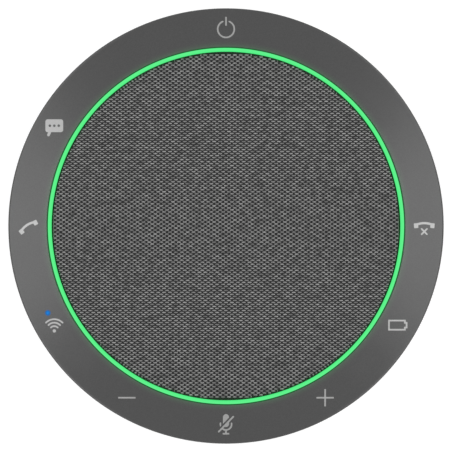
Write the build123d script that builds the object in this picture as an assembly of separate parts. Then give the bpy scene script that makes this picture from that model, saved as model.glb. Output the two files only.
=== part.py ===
from build123d import *
import math
import os

# Round conference speakerphone. Millimetres, +Z up, the table is z = 0, +Y is the rear,
# where the power key is. Every piece is a solid of its own.

# ---- overall sizes ----
OVERALL_DIAMETER = 132.5
OVERALL_HEIGHT = 33.2
RING_WIDTH = 11.8

# ---- levels of the lower half, measured up from the table ----
FOOT_PROUD = 1.0
FOOT_RECESS = 0.8
BASE_THICKNESS = 2.4
CHANNEL_HEIGHT = 8.0
CHANNEL_DEPTH = 5.0
SHELL_WALL = 2.0
SHELL_PLATE = 1.6
SHELL_CURVE_RISE = 12.6
SHELL_OVERHANG = 2.5
SEAL_THICKNESS = 0.6
FOOT_EDGE_ROUND = 0.35
BASE_EDGE_ROUND = 1.0
BASE_TOP_ROUND = 0.5
LABEL_INSET = 3.0
LABEL_DEPTH = 0.4
SHELL_RIM_ROUND = 0.3
LIP_FOOT = 1.2

# ---- top ring ----
RING_SLOPE_DEG = 8.0
RING_STEP = 0.2
RING_EDGE_ROUND = 0.6
INNER_EDGE_ROUND = 0.2
SKIN_THICKNESS = 0.8
SKIRT_WALL = 1.2
LIP_SIDE_GAP = 0.2
LIP_WALL = 1.15
SKIRT_BELOW_PLATE = 2.5
KEY_STACK = 2.6
PARTING_GAP = 0.3
PLATE_EDGE_WALL = 0.94

# ---- light ring ----
LIGHT_WIDTH = 1.25
LIGHT_GAP = 0.45
LIGHT_SEAM = 0.15
LIGHT_FOOT_OUT = 1.1
LIGHT_FOOT_HEIGHT = 1.5
BARRIER_WALL = 0.9
BARRIER_FLOOR = 1.0
LED_COUNT = 24
LED_SIZE = 1.0
LED_HEIGHT = 0.6
LED_LENGTH = 1.6
LED_OFFSET = 0.1
LED_POCKET_ROOM = 0.6
LED_POCKET_LENGTH = 7.0
LIGHT_TOP_ROUND = 0.25

# ---- grille ----
FABRIC_THICKNESS = 0.6
FABRIC_DROP = 0.4
GRILLE_THICKNESS = 1.2
GRILLE_HOLE_RADIUS = 3.0
GRILLE_WEB = 1.2
GRILLE_RIM = 3.4
PEG_PAD = 5.4
PEG_ROOT = 0.4
FABRIC_HEM = 0.3
PEG_INSET = 1.5
PEG_RADIUS = 1.6
PEG_TIP_RADIUS = 1.0

# ---- keys ----
KEY_INSET = 5.85
KEY_RADIUS = 2.6
KEY_SIDE_GAP = 0.3
KEY_TOP_GAP = 0.1
KEY_FLANGE = 0.7
KEY_FLANGE_HEIGHT = 0.6
KEY_FOOT_RADIUS = 1.2
KEY_TRAVEL = 0.25
KEY_NAMES = {
    "power": 90,
    "meeting": 150,
    "answer": 180,
    "wireless": 210,
    "volume_down": 240,
    "mute": 270,
    "volume_up": 300,
    "battery": 330,
    "end_call": 0,
}
STATUS_ANGLE = 206.0
STATUS_RADIUS = 0.65
STATUS_LED_GAP = 0.1

# ---- ring electronics ----
BOARD_THICKNESS = 1.0
SWITCH_SIZE = 4.0
SWITCH_BODY = 1.2
SWITCH_BUTTON = 0.3
SWITCH_BUTTON_RADIUS = 1.0
MIC_ANGLES = (45, 135, 225, 315)
MIC_BOOT_RADIUS = 1.15
MIC_SIDE_GAP = 0.35
MIC_BOARD_EDGE = 1.2
MIC_HOLE_RADIUS = 0.5
MIC_CAN_LENGTH = 2.4
MIC_CAN_WIDTH = 3.2
MIC_CAN_OFFSET = 0.3
MIC_CAN_GAP = 0.1
RING_CONNECTOR_DEPTH = 2.1
RING_CONNECTOR_HEIGHT = 1.1
RING_CONNECTOR_INSET = 0.1

# ---- middle frame and its posts ----
MID_FRAME_THICKNESS = 1.8
BOARD_STANDOFF = 0.6
POST_HEAD_ROOM = 0.7
POST_RADIUS = 2.2
BOSS_SINK = 0.2
SHELL_SCREW_BITE = 4.5
FRAME_SCREW_BITE = 4.0
BOARD_PAD_RADIUS = 2.0
BOARD_SCREW_SHIFT = 1.0
RING_POST_ROOT = 0.3
RING_SCREW_END = 0.4
POST_ANGLES = (0, 60, 120, 180, 240, 300)
RING_POST_RADIUS = 1.8
RING_POST_ANGLES = (30, 60, 120, 165, 195, 255, 285, 345)
BOARD_SCREW_ANGLES = (15, 75, 105, 135, 225, 315)

# ---- speaker ----
CHAMBER_WALL = 1.5
CHAMBER_SEAT = 2.0
CHAMBER_FLOOR_HEIGHT = 10.3
GASKET_THICKNESS = 0.5
DRIVER_BODY_RADIUS = 29.6
DRIVER_FLANGE_WIDTH = 4.4
DRIVER_FLANGE_THICKNESS = 1.2
SURROUND_WIDTH = 3.8
SURROUND_INSET = 0.2
CONE_NECK_RADIUS = 10.7
CONE_DEPTH = 6.0
CONE_WALL = 0.45
COIL_INNER_RADIUS = 10.0
FORMER_WALL = 0.2
WINDING_WALL = 0.4
MAGNET_RADIUS = 9.3
TOP_PLATE_RADIUS = 9.6
YOKE_INNER_RADIUS = 11.1
YOKE_WALL = 2.9
YOKE_FLOOR = 2.0
YOKE_FLOOR_GAP = 0.6
YOKE_EDGE_ROUND = 0.8
BASKET_WALL = 1.2
MAGNET_HEIGHT = 2.7
TOP_PLATE_HEIGHT = 1.8
SPIDER_WIDTH = 9.3
SPIDER_WALL = 0.3
SPIDER_WAVES = 3
SPIDER_LIFT = 0.75
SPIDER_WAVE_HEIGHT = 0.35
SPIDER_LEDGE_WIDTH = 1.4
SPIDER_LEDGE_OUT = 1.5
LEDGE_DROP = 1.2
BASKET_SEAT_DEPTH = 2.5
BASKET_LIP_INSET = 0.4
BASKET_SHOULDER = 2.0
BASKET_WINDOW_LENGTH = 5.2
BASKET_WINDOW_WIDTH = 13.0
BASKET_WINDOW_LOW = 3.0
BASKET_WINDOW_TOP = 1.4
WINDING_HEIGHT = 2.8
FORMER_END = 0.05
FORMER_NECK = 0.4
CONE_RIM_WIDTH = 1.4
CONE_SKEW = 0.2
DUST_CAP_RADIUS = 12.0
DUST_CAP_RISE = 2.4
SURROUND_WALL = 0.4
SURROUND_INNER_LIP = 1.3
SURROUND_OUTER_LIP = 0.9
LIP_OVERLAP = 0.2
TERMINAL_PLATE = 1.0
TERMINAL_WIDTH = 7.0
TERMINAL_LOW = 4.0
TERMINAL_HIGH = 1.2
TAB_LENGTH = 5.2
TAB_WIDTH = 1.0
TAB_LOW = 3.0
TAB_HIGH = 2.6
TAB_CENTRE = 3.6

# ---- main electronics in the drum ----
DRUM_WALL = 2.0
DRUM_FLOOR = 1.5
MAIN_BOARD_EDGE = 1.0
MAIN_BOARD_LIFT = 1.5
BATTERY_LENGTH = 50.0
BATTERY_WIDTH = 44.0
BATTERY_HEIGHT = 4.6
TAPE_THICKNESS = 0.3
STANDOFF_INSET = 3.5
STANDOFF_ANGLES = (52, 128, 232, 308)
BASE_SCREW_INSET = 1.0
FOOT_HALF_WIDTH = 4.0
BASE_SCREW_ANGLES = (45, 135, 225, 315)
BASE_SCREW_BITE = 2.6
BOSS_CAP = 0.8
STANDOFF_FLOOR = 0.5
SHIELD_LENGTH = 13.0
SHIELD_WIDTH = 10.0
SHIELD_HEIGHT = 1.8
SHIELD_WALL = 0.2
SHIELD_ROUND = 0.6
SHIELD_X = -13.0
SHIELD_Y = 32.5
ANTENNA_LENGTH = 9.0
ANTENNA_WIDTH = 2.0
ANTENNA_HEIGHT = 1.0
ANTENNA_X = -6.0
ANTENNA_INSET = 3.3
BATTERY_EDGE_ROUND = 1.2
TAPE_INSET = 4.0
BATTERY_PLUG_X = 31.5
BATTERY_PLUG_SIZE = 4.0
BATTERY_PLUG_WIDTH = 6.0
BATTERY_PLUG_HEIGHT = 1.6
BATTERY_LEAD_LIFT = 0.9
BATTERY_LEAD_RADIUS = 0.45
BATTERY_LEAD_SPREAD = 1.4
SPEAKER_PLUG_SIZE = 4.0
SPEAKER_PLUG_WIDTH = 6.5
SPEAKER_PLUG_HEIGHT = 1.4

# ---- leads and the flat cable ----
WINDOW_ROOM = 2.0
FLEX_SIDE_GAP = 1.2
FLEX_THICKNESS = 0.2
FLEX_WIDTH = 8.0
FLEX_SLOT = 10.0
FLEX_SLOT_IN = 2.0
FLEX_SLOT_OUT = 1.5
FRAME_SLOT = 2.6
FRAME_SLOT_SHIFT = 0.1
FLEX_LIFT = 0.5
FLEX_END = 0.95
FLEX_SIDE_ROOM = 0.1
SOCKET_SIDES = 1.2
SOCKET_REACH = 1.0
MAIN_SOCKET_INSET = 6.0
MAIN_SOCKET_DEPTH = 3.0
MAIN_SOCKET_HEIGHT = 1.2
MAIN_SOCKET_MOUTH = 1.2
MAIN_FLEX_LIFT = 0.6
LEAD_RADIUS = 0.5
LEAD_REACH = 6.9
LEAD_SPREAD = 1.6

# ---- cable gland ----
CABLE_BORE_RADIUS = 1.8
GLAND_RADIUS = 2.4
GLAND_FLANGE_RADIUS = 2.85
GLAND_FLANGE_WIDTH = 1.0
GLAND_LIFT = 0.15

# ---- screws, and clearances used all over ----
SCREW_RADIUS = 0.9
SCREW_HEAD_RADIUS = 1.7
SCREW_HEAD_HEIGHT = 1.0
SCREW_HEAD_ROUND = 0.3
SOCKET_LENGTH = 1.8
SOCKET_WIDTH = 0.4
SOCKET_DEPTH = 0.5
PILOT_END = 0.2
LONG_SCREW_RADIUS = 1.0
THREAD_GAP = 0.02
FIT_GAP = 0.05
LOOSE_GAP = 0.3
CUT_OVER = 1.0

# ---- radii, from the outside in ----
OUTER_R = OVERALL_DIAMETER / 2
RING_INNER_R = OUTER_R - RING_WIDTH
LIGHT_OUTER_R = RING_INNER_R - LIGHT_SEAM
LIGHT_INNER_R = LIGHT_OUTER_R - LIGHT_WIDTH
LIGHT_FOOT_R = LIGHT_OUTER_R + LIGHT_FOOT_OUT
GRILLE_R = LIGHT_INNER_R - LIGHT_GAP
BARRIER_OUTER_R = LIGHT_FOOT_R + LOOSE_GAP
BARRIER_INNER_R = LIGHT_INNER_R - FIT_GAP - BARRIER_WALL
KEY_CIRCLE_RADIUS = RING_INNER_R + KEY_INSET
FLANGE_R = KEY_RADIUS + KEY_FLANGE
RING_POST_CIRCLE = BARRIER_OUTER_R + RING_POST_RADIUS
BOARD_SCREW_CIRCLE = RING_POST_CIRCLE + BOARD_SCREW_SHIFT
SKIRT_INNER_R = OUTER_R - SKIN_THICKNESS - SKIRT_WALL
LIP_OUTER_R = SKIRT_INNER_R - LIP_SIDE_GAP
LIP_INNER_R = LIP_OUTER_R - LIP_WALL
BOARD_OUTER_R = LIP_INNER_R - LOOSE_GAP
MIC_CIRCLE_RADIUS = BARRIER_INNER_R - MIC_BOOT_RADIUS - MIC_SIDE_GAP
RING_BOARD_INNER_R = MIC_CIRCLE_RADIUS - MIC_BOARD_EDGE
POST_CIRCLE_RADIUS = RING_BOARD_INNER_R - SCREW_HEAD_RADIUS - POST_HEAD_ROOM
CHAMBER_RADIUS = POST_CIRCLE_RADIUS - POST_RADIUS - LOOSE_GAP
CHAMBER_DROP_RADIUS = CHAMBER_RADIUS - CHAMBER_SEAT
PEG_CIRCLE_RADIUS = CHAMBER_DROP_RADIUS - PEG_INSET
MAIN_BOARD_RADIUS = CHAMBER_RADIUS - MAIN_BOARD_EDGE
STANDOFF_CIRCLE = MAIN_BOARD_RADIUS - STANDOFF_INSET
BASE_SCREW_CIRCLE = POST_CIRCLE_RADIUS - BASE_SCREW_INSET
DRUM_INNER_R = POST_CIRCLE_RADIUS + POST_RADIUS - BOSS_SINK
DRUM_R = DRUM_INNER_R + DRUM_WALL
BASE_R = DRUM_R + CHANNEL_DEPTH
FOOT_OUTER_R = BASE_SCREW_CIRCLE + FOOT_HALF_WIDTH
FOOT_INNER_R = BASE_SCREW_CIRCLE - FOOT_HALF_WIDTH
DRIVER_FLANGE_RADIUS = DRIVER_BODY_RADIUS + DRIVER_FLANGE_WIDTH
DRIVER_SCREW_CIRCLE = DRIVER_FLANGE_RADIUS - SCREW_HEAD_RADIUS - LOOSE_GAP
ROLL_OUTER_R = DRIVER_BODY_RADIUS - SURROUND_INSET
CONE_RADIUS = ROLL_OUTER_R - SURROUND_WIDTH
FORMER_R = COIL_INNER_RADIUS + FORMER_WALL
WINDING_R = FORMER_R + WINDING_WALL
SPIDER_RADIUS = FORMER_R + SPIDER_WIDTH
YOKE_R = YOKE_INNER_RADIUS + YOKE_WALL
FLEX_RADIUS = CHAMBER_RADIUS + FLEX_SIDE_GAP
LEAD_CIRCLE = DRIVER_BODY_RADIUS + LEAD_REACH
WINDOW_LENGTH = BATTERY_LENGTH + WINDOW_ROOM
WINDOW_WIDTH = BATTERY_WIDTH + WINDOW_ROOM

# ---- levels, from the table up and from the top down ----
Z_BASE_TOP = FOOT_PROUD + BASE_THICKNESS
Z_SHELL = Z_BASE_TOP + CHANNEL_HEIGHT
Z_SHELL_PLATE = Z_SHELL + SHELL_PLATE
Z_DRUM_FLOOR = Z_BASE_TOP + DRUM_FLOOR
Z_DRUM_TOP = Z_SHELL - SEAL_THICKNESS

Z_RING_INNER = OVERALL_HEIGHT - RING_STEP
RING_FALL = RING_WIDTH * math.tan(math.radians(RING_SLOPE_DEG))
Z_PLATE = Z_RING_INNER - RING_FALL - SKIN_THICKNESS - PLATE_EDGE_WALL
Z_SKIRT = Z_PLATE - SKIRT_BELOW_PLATE
Z_SHELL_TOP = Z_SKIRT - PARTING_GAP
Z_BOARD_TOP = Z_PLATE - KEY_STACK
Z_BOARD = Z_BOARD_TOP - BOARD_THICKNESS
Z_MID_TOP = Z_BOARD - BOARD_STANDOFF
Z_MID = Z_MID_TOP - MID_FRAME_THICKNESS
Z_FABRIC_TOP = OVERALL_HEIGHT - FABRIC_DROP
Z_GRILLE_TOP = Z_FABRIC_TOP - FABRIC_THICKNESS
Z_GRILLE = Z_GRILLE_TOP - GRILLE_THICKNESS

Z_LIGHT_FOOT = Z_BOARD_TOP + BARRIER_FLOOR
Z_KEY_FLANGE_TOP = Z_PLATE - KEY_TOP_GAP
Z_SWITCH = Z_BOARD_TOP + SWITCH_BODY
Z_FOOT_SEAT = FOOT_PROUD + FOOT_RECESS
Z_CHAMBER_TOP = Z_MID - GASKET_THICKNESS
Z_FLANGE = Z_MID_TOP + GASKET_THICKNESS
Z_FLANGE_TOP = Z_FLANGE + DRIVER_FLANGE_THICKNESS
Z_CONE_NECK = Z_FLANGE_TOP - CONE_DEPTH
LEDGE_LEVEL = Z_CONE_NECK - LEDGE_DROP
Z_YOKE = CHAMBER_FLOOR_HEIGHT + CHAMBER_WALL + YOKE_FLOOR_GAP
Z_MAGNET = Z_YOKE + YOKE_FLOOR
Z_TOP_PLATE = Z_MAGNET + MAGNET_HEIGHT
Z_MOTOR_TOP = Z_TOP_PLATE + TOP_PLATE_HEIGHT
MAIN_BOARD_Z = Z_DRUM_FLOOR + MAIN_BOARD_LIFT
MAIN_BOARD_TOP = MAIN_BOARD_Z + BOARD_THICKNESS
Z_BATTERY = Z_DRUM_FLOOR + TAPE_THICKNESS
Z_GLAND = Z_DRUM_FLOOR + GLAND_FLANGE_RADIUS + GLAND_LIFT


# ---- small makers ----
def disc(radius, low, high, x=0.0, y=0.0):
    """A round solid about a vertical axis, from one level to another."""
    return Pos(x, y, low) * Cylinder(radius, high - low, align=(Align.CENTER, Align.CENTER, Align.MIN))


def annulus(inner, outer, low, high):
    """A flat ring about the Z axis."""
    return disc(outer, low, high) - disc(inner, low - CUT_OVER, high + CUT_OVER)


def block(length, width, low, high, x=0.0, y=0.0, turn=0.0):
    """A box standing at x, y, turned about its own vertical axis."""
    solid = Box(length, width, high - low, align=(Align.CENTER, Align.CENTER, Align.MIN))
    return Pos(x, y, low) * Rot(0, 0, turn) * solid


def around(radius, angle):
    """The point on a circle about the Z axis."""
    turn = math.radians(angle)
    return radius * math.cos(turn), radius * math.sin(turn)


def discs(radius, low, high, circle, angles):
    """A list of round solids on a circle."""
    return [disc(radius, low, high, *around(circle, angle)) for angle in angles]


def turned(points):
    """A solid of revolution from a closed outline of (radius, height) points."""
    outline = Polyline(*[(r, 0, z) for r, z in points], close=True)
    return revolve(make_face(outline), Axis.Z)


def fused(base, pieces):
    """One solid out of a base and the pieces that grow from it."""
    return base.fuse(*pieces).clean()


def cut(base, pieces):
    """The base with every one of the pieces taken away."""
    return base.cut(*pieces)


def level_edges(solid, level, radius):
    """The circular edges at one level with one radius."""
    found = solid.edges().filter_by(GeomType.CIRCLE)
    at_level = [e for e in found if abs(e.center().Z - level) < 0.01]
    return [e for e in at_level if abs(e.radius - radius) < 0.01]


def screw(x, y, head_level, tip_level, shank, head_up=True):
    """A pan head screw. The head sits on head_level and the shank runs to tip_level."""
    shank_low = min(head_level, tip_level)
    shank_high = max(head_level, tip_level)
    head_low = head_level if head_up else head_level - SCREW_HEAD_HEIGHT
    head = disc(SCREW_HEAD_RADIUS, head_low, head_low + SCREW_HEAD_HEIGHT, x, y)
    face_level = head_low + SCREW_HEAD_HEIGHT if head_up else head_low
    head = fillet(level_edges(head, face_level, SCREW_HEAD_RADIUS), SCREW_HEAD_ROUND)
    socket_low = face_level - SOCKET_DEPTH if head_up else face_level - CUT_OVER
    socket_high = face_level + CUT_OVER if head_up else face_level + SOCKET_DEPTH
    levels = (socket_low, socket_high)
    bars = [block(SOCKET_LENGTH, SOCKET_WIDTH, *levels, x, y, turn) for turn in (0, 90)]
    return cut(head.fuse(disc(shank, shank_low, shank_high, x, y)), bars)


# ---- feet, base and drum ----
def rubber_foot():
    ring = annulus(FOOT_INNER_R, FOOT_OUTER_R, 0, Z_FOOT_SEAT)
    edges = level_edges(ring, 0, FOOT_OUTER_R) + level_edges(ring, 0, FOOT_INNER_R)
    return fillet(edges, FOOT_EDGE_ROUND)


def base_cover():
    plate = disc(BASE_R, FOOT_PROUD, Z_BASE_TOP)
    plate = fillet(level_edges(plate, FOOT_PROUD, BASE_R), BASE_EDGE_ROUND)
    plate = fillet(level_edges(plate, Z_BASE_TOP, BASE_R), BASE_TOP_ROUND)
    groove = annulus(FOOT_INNER_R - FIT_GAP, FOOT_OUTER_R + FIT_GAP, 0, Z_FOOT_SEAT)
    panel = disc(FOOT_INNER_R - LABEL_INSET, 0, FOOT_PROUD + LABEL_DEPTH)
    head_room = SCREW_HEAD_RADIUS + LOOSE_GAP / 2
    head_top = Z_FOOT_SEAT + SCREW_HEAD_HEIGHT
    heads = discs(head_room, 0, head_top, BASE_SCREW_CIRCLE, BASE_SCREW_ANGLES)
    shank_room = SCREW_RADIUS + FIT_GAP
    holes = discs(shank_room, 0, Z_BASE_TOP + CUT_OVER, BASE_SCREW_CIRCLE, BASE_SCREW_ANGLES)
    return cut(plate, [groove, panel] + heads + holes)


BASE_SCREW_TIP = Z_DRUM_FLOOR + BASE_SCREW_BITE


def base_screws():
    seat = Z_FOOT_SEAT + SCREW_HEAD_HEIGHT
    points = [around(BASE_SCREW_CIRCLE, a) for a in BASE_SCREW_ANGLES]
    return [screw(x, y, seat, BASE_SCREW_TIP, SCREW_RADIUS, head_up=False) for x, y in points]


def lower_tub():
    shell = disc(DRUM_R, Z_BASE_TOP, Z_DRUM_TOP)
    shell -= disc(DRUM_INNER_R, Z_DRUM_FLOOR, Z_DRUM_TOP + CUT_OVER)
    bosses = discs(POST_RADIUS, Z_BASE_TOP, Z_SHELL, POST_CIRCLE_RADIUS, POST_ANGLES)
    cap = BASE_SCREW_TIP + BOSS_CAP
    bosses += discs(POST_RADIUS, Z_BASE_TOP, cap, BASE_SCREW_CIRCLE, BASE_SCREW_ANGLES)
    bosses += discs(POST_RADIUS, Z_BASE_TOP, MAIN_BOARD_Z, STANDOFF_CIRCLE, STANDOFF_ANGLES)
    shell = fused(shell, bosses)
    thread = SCREW_RADIUS + THREAD_GAP
    pilots = discs(thread, 0, BASE_SCREW_TIP + PILOT_END, BASE_SCREW_CIRCLE, BASE_SCREW_ANGLES)
    floor = Z_BASE_TOP + STANDOFF_FLOOR
    pilots += discs(thread, floor, MAIN_BOARD_Z + CUT_OVER, STANDOFF_CIRCLE, STANDOFF_ANGLES)
    shank_room = LONG_SCREW_RADIUS + FIT_GAP
    pilots += discs(shank_room, 0, Z_SHELL + CUT_OVER, POST_CIRCLE_RADIUS, POST_ANGLES)
    head_room = SCREW_HEAD_RADIUS + LOOSE_GAP / 2
    pilots += discs(head_room, 0, Z_BASE_TOP + SCREW_HEAD_HEIGHT, POST_CIRCLE_RADIUS, POST_ANGLES)
    through_wall = Pos(0, DRUM_R, Z_GLAND) * Rot(90, 0, 0)
    gland_hole = through_wall * Cylinder(GLAND_RADIUS + FIT_GAP, 3 * DRUM_WALL)
    return cut(shell, pilots + [gland_hole])


def tub_seal():
    return annulus(DRUM_INNER_R + LOOSE_GAP, DRUM_R - LOOSE_GAP, Z_DRUM_TOP, Z_SHELL)


def cable_gland():
    flat_out = DRUM_R + FIT_GAP
    flat_in = math.sqrt(DRUM_INNER_R**2 - GLAND_FLANGE_RADIUS**2) - FIT_GAP
    length = flat_out - flat_in + 2 * GLAND_FLANGE_WIDTH
    along = Pos(0, flat_in - GLAND_FLANGE_WIDTH, Z_GLAND) * Rot(-90, 0, 0)
    seat = (Align.CENTER, Align.CENTER, Align.MIN)
    sleeve = along * Cylinder(GLAND_RADIUS, length, align=seat)
    inner = along * Cylinder(GLAND_FLANGE_RADIUS, GLAND_FLANGE_WIDTH, align=seat)
    outer = Pos(0, length - GLAND_FLANGE_WIDTH, 0) * inner
    body = fused(sleeve, [inner, outer])
    bore = Pos(0, DRUM_R, Z_GLAND) * Rot(90, 0, 0) * Cylinder(CABLE_BORE_RADIUS, 6 * DRUM_WALL)
    return body - bore


# ---- bowl shaped side shell ----
def bowl(wall, plate_level, top_level):
    """A filled bowl: an arc that is tangent to the vertical side, from a plate up to a rim."""
    radius = OUTER_R - wall
    drop = SHELL_CURVE_RISE
    inset = OUTER_R - (BASE_R + SHELL_OVERHANG)
    arc_radius = (inset**2 + drop**2) / (2 * inset)
    centre_r = OUTER_R - arc_radius
    centre_z = Z_SHELL + drop
    arc_radius -= wall
    low_turn = math.asin((centre_z - plate_level) / arc_radius)
    corner = (centre_r + arc_radius * math.cos(low_turn), plate_level)
    middle = (
        centre_r + arc_radius * math.cos(low_turn / 2),
        centre_z - arc_radius * math.sin(low_turn / 2),
    )
    side = (radius, centre_z)
    arc = ThreePointArc(*[(r, 0, z) for r, z in (corner, middle, side)])
    rest = Polyline(
        (radius, 0, centre_z),
        (radius, 0, top_level),
        (0, 0, top_level),
        (0, 0, plate_level),
        (corner[0], 0, plate_level),
    )
    return revolve(make_face(arc + rest), Axis.Z)


PLATE_HOLE_R = CHAMBER_DROP_RADIUS + LOOSE_GAP


def side_shell():
    shell = bowl(0, Z_SHELL, Z_SHELL_TOP)
    lip = disc(LIP_OUTER_R, Z_SHELL_TOP - LIP_FOOT, Z_SHELL_TOP + LIP_FOOT)
    shell = shell.fuse(lip)
    shell = shell - bowl(SHELL_WALL, Z_SHELL_PLATE, Z_SHELL_TOP - LIP_FOOT)
    shell = shell - disc(LIP_INNER_R, Z_SHELL_TOP - LIP_FOOT - CUT_OVER, Z_SHELL_TOP + 2 * LIP_FOOT)
    shell = fillet(level_edges(shell, Z_SHELL_TOP, OUTER_R), SHELL_RIM_ROUND)
    shell = shell - disc(PLATE_HOLE_R, Z_SHELL - CUT_OVER, Z_SHELL_PLATE + CUT_OVER)
    posts = discs(POST_RADIUS, Z_SHELL, Z_MID, POST_CIRCLE_RADIUS, POST_ANGLES)
    shell = fused(shell, posts)
    reach = (Z_SHELL - CUT_OVER, Z_MID + CUT_OVER)
    pilots = discs(LONG_SCREW_RADIUS + THREAD_GAP, *reach, POST_CIRCLE_RADIUS, POST_ANGLES)
    slot_in = PLATE_HOLE_R - FLEX_SLOT_IN
    slot_out = FLEX_RADIUS + FLEX_SLOT_OUT
    middle = -(slot_in + slot_out) / 2
    slot = block(FLEX_SLOT, slot_out - slot_in, Z_SHELL - CUT_OVER, Z_SHELL_PLATE + CUT_OVER, 0, middle)
    return cut(shell, pilots + [slot])


SHELL_SCREW_TIP = Z_SHELL_PLATE + SHELL_SCREW_BITE


def shell_screws():
    seat = Z_BASE_TOP + SCREW_HEAD_HEIGHT
    points = [around(POST_CIRCLE_RADIUS, a) for a in POST_ANGLES]
    return [screw(x, y, seat, SHELL_SCREW_TIP, LONG_SCREW_RADIUS, head_up=False) for x, y in points]


# ---- middle frame ----
DRIVER_HOLE_R = DRIVER_BODY_RADIUS + LOOSE_GAP
DRIVER_SCREW_ANGLES = (45, 135, 225, 315)
PEG_ANGLES = (0, 60, 120, 180, 240, 300)


def mid_frame():
    plate = annulus(DRIVER_HOLE_R, BOARD_OUTER_R, Z_MID, Z_MID_TOP)
    pads = discs(BOARD_PAD_RADIUS, Z_MID, Z_BOARD, BOARD_SCREW_CIRCLE, BOARD_SCREW_ANGLES)
    plate = fused(plate, pads)
    reach = (Z_MID - CUT_OVER, Z_BOARD + CUT_OVER)
    holes = discs(LONG_SCREW_RADIUS + FIT_GAP, *reach, POST_CIRCLE_RADIUS, POST_ANGLES)
    holes += discs(SCREW_RADIUS + THREAD_GAP, *reach, DRIVER_SCREW_CIRCLE, DRIVER_SCREW_ANGLES)
    holes += discs(PEG_TIP_RADIUS + FIT_GAP, *reach, PEG_CIRCLE_RADIUS, PEG_ANGLES)
    holes += discs(SCREW_RADIUS + THREAD_GAP, *reach, BOARD_SCREW_CIRCLE, BOARD_SCREW_ANGLES)
    holes += discs(SCREW_RADIUS + FIT_GAP, *reach, RING_POST_CIRCLE, RING_POST_ANGLES)
    slot = block(FLEX_SLOT, FRAME_SLOT, *reach, 0, -FLEX_RADIUS - FRAME_SLOT_SHIFT)
    return cut(plate, holes + [slot])


def mid_frame_screws():
    points = [around(POST_CIRCLE_RADIUS, a) for a in POST_ANGLES]
    tip = Z_MID - FRAME_SCREW_BITE
    return [screw(x, y, Z_MID_TOP, tip, LONG_SCREW_RADIUS) for x, y in points]


# ---- ring electronics ----
def ring_board():
    board = annulus(RING_BOARD_INNER_R, BOARD_OUTER_R, Z_BOARD, Z_BOARD_TOP)
    reach = (Z_BOARD - CUT_OVER, Z_BOARD_TOP + CUT_OVER)
    holes = discs(RING_POST_RADIUS + LOOSE_GAP, *reach, RING_POST_CIRCLE, RING_POST_ANGLES)
    holes += discs(SCREW_RADIUS + FIT_GAP, *reach, BOARD_SCREW_CIRCLE, BOARD_SCREW_ANGLES)
    holes += discs(MIC_HOLE_RADIUS, *reach, MIC_CIRCLE_RADIUS, MIC_ANGLES)
    return cut(board, holes)


def ring_board_screws():
    points = [around(BOARD_SCREW_CIRCLE, a) for a in BOARD_SCREW_ANGLES]
    return [screw(x, y, Z_BOARD_TOP, Z_MID + PILOT_END, SCREW_RADIUS) for x, y in points]


LED_CIRCLE_R = LIGHT_INNER_R + LIGHT_WIDTH / 2 + LED_OFFSET


def ring_leds():
    levels = (Z_BOARD_TOP, Z_BOARD_TOP + LED_HEIGHT)
    leds = []
    for index in range(LED_COUNT):
        angle = (index + 0.5) * 360 / LED_COUNT
        x, y = around(LED_CIRCLE_R, angle)
        leds.append(block(LED_SIZE, LED_LENGTH, *levels, x, y, angle))
    x, y = around(KEY_CIRCLE_RADIUS, STATUS_ANGLE)
    leds.append(block(LED_SIZE, LED_SIZE, *levels, x, y, STATUS_ANGLE))
    return leds


def light_barrier():
    ring = annulus(BARRIER_INNER_R, BARRIER_OUTER_R, Z_BOARD_TOP, Z_LIGHT_FOOT)
    wall = annulus(BARRIER_INNER_R, BARRIER_INNER_R + BARRIER_WALL, Z_BOARD_TOP, Z_GRILLE)
    ring = fused(ring, [wall])
    reach = (Z_BOARD_TOP - CUT_OVER, Z_LIGHT_FOOT + CUT_OVER)
    pockets = []
    for index in range(LED_COUNT):
        angle = (index + 0.5) * 360 / LED_COUNT
        x, y = around(LED_CIRCLE_R, angle)
        pockets.append(block(LED_SIZE + LED_POCKET_ROOM, LED_POCKET_LENGTH, *reach, x, y, angle))
    return cut(ring, pockets)


def light_guide_ring():
    foot = annulus(LIGHT_INNER_R, LIGHT_FOOT_R, Z_LIGHT_FOOT, Z_LIGHT_FOOT + LIGHT_FOOT_HEIGHT)
    neck = annulus(LIGHT_INNER_R, LIGHT_OUTER_R, Z_LIGHT_FOOT, OVERALL_HEIGHT)
    ring = fused(foot, [neck])
    top = level_edges(ring, OVERALL_HEIGHT, LIGHT_OUTER_R)
    top += level_edges(ring, OVERALL_HEIGHT, LIGHT_INNER_R)
    return fillet(top, LIGHT_TOP_ROUND)


def tact_switches():
    switches = []
    for angle in KEY_NAMES.values():
        x, y = around(KEY_CIRCLE_RADIUS, angle)
        body = block(SWITCH_SIZE, SWITCH_SIZE, Z_BOARD_TOP, Z_SWITCH, x, y, angle)
        button = disc(SWITCH_BUTTON_RADIUS, Z_SWITCH, Z_SWITCH + SWITCH_BUTTON, x, y)
        switches.append(fused(body, [button]))
    return switches


def mic_capsules():
    capsules = []
    for angle in MIC_ANGLES:
        x, y = around(MIC_CIRCLE_RADIUS + MIC_CAN_OFFSET, angle)
        levels = (Z_MID_TOP + MIC_CAN_GAP, Z_BOARD)
        capsules.append(block(MIC_CAN_LENGTH, MIC_CAN_WIDTH, *levels, x, y, angle))
    return capsules


def mic_boots():
    boots = []
    for angle in MIC_ANGLES:
        x, y = around(MIC_CIRCLE_RADIUS, angle)
        boot = disc(MIC_BOOT_RADIUS, Z_BOARD_TOP, Z_GRILLE, x, y)
        boots.append(boot - disc(MIC_HOLE_RADIUS, Z_BOARD_TOP - CUT_OVER, Z_GRILLE + CUT_OVER, x, y))
    return boots


RING_CONNECTOR_Y = -(RING_BOARD_INNER_R + RING_CONNECTOR_INSET + RING_CONNECTOR_DEPTH / 2)
FLEX_TOP = Z_BOARD_TOP + FLEX_LIFT


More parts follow.
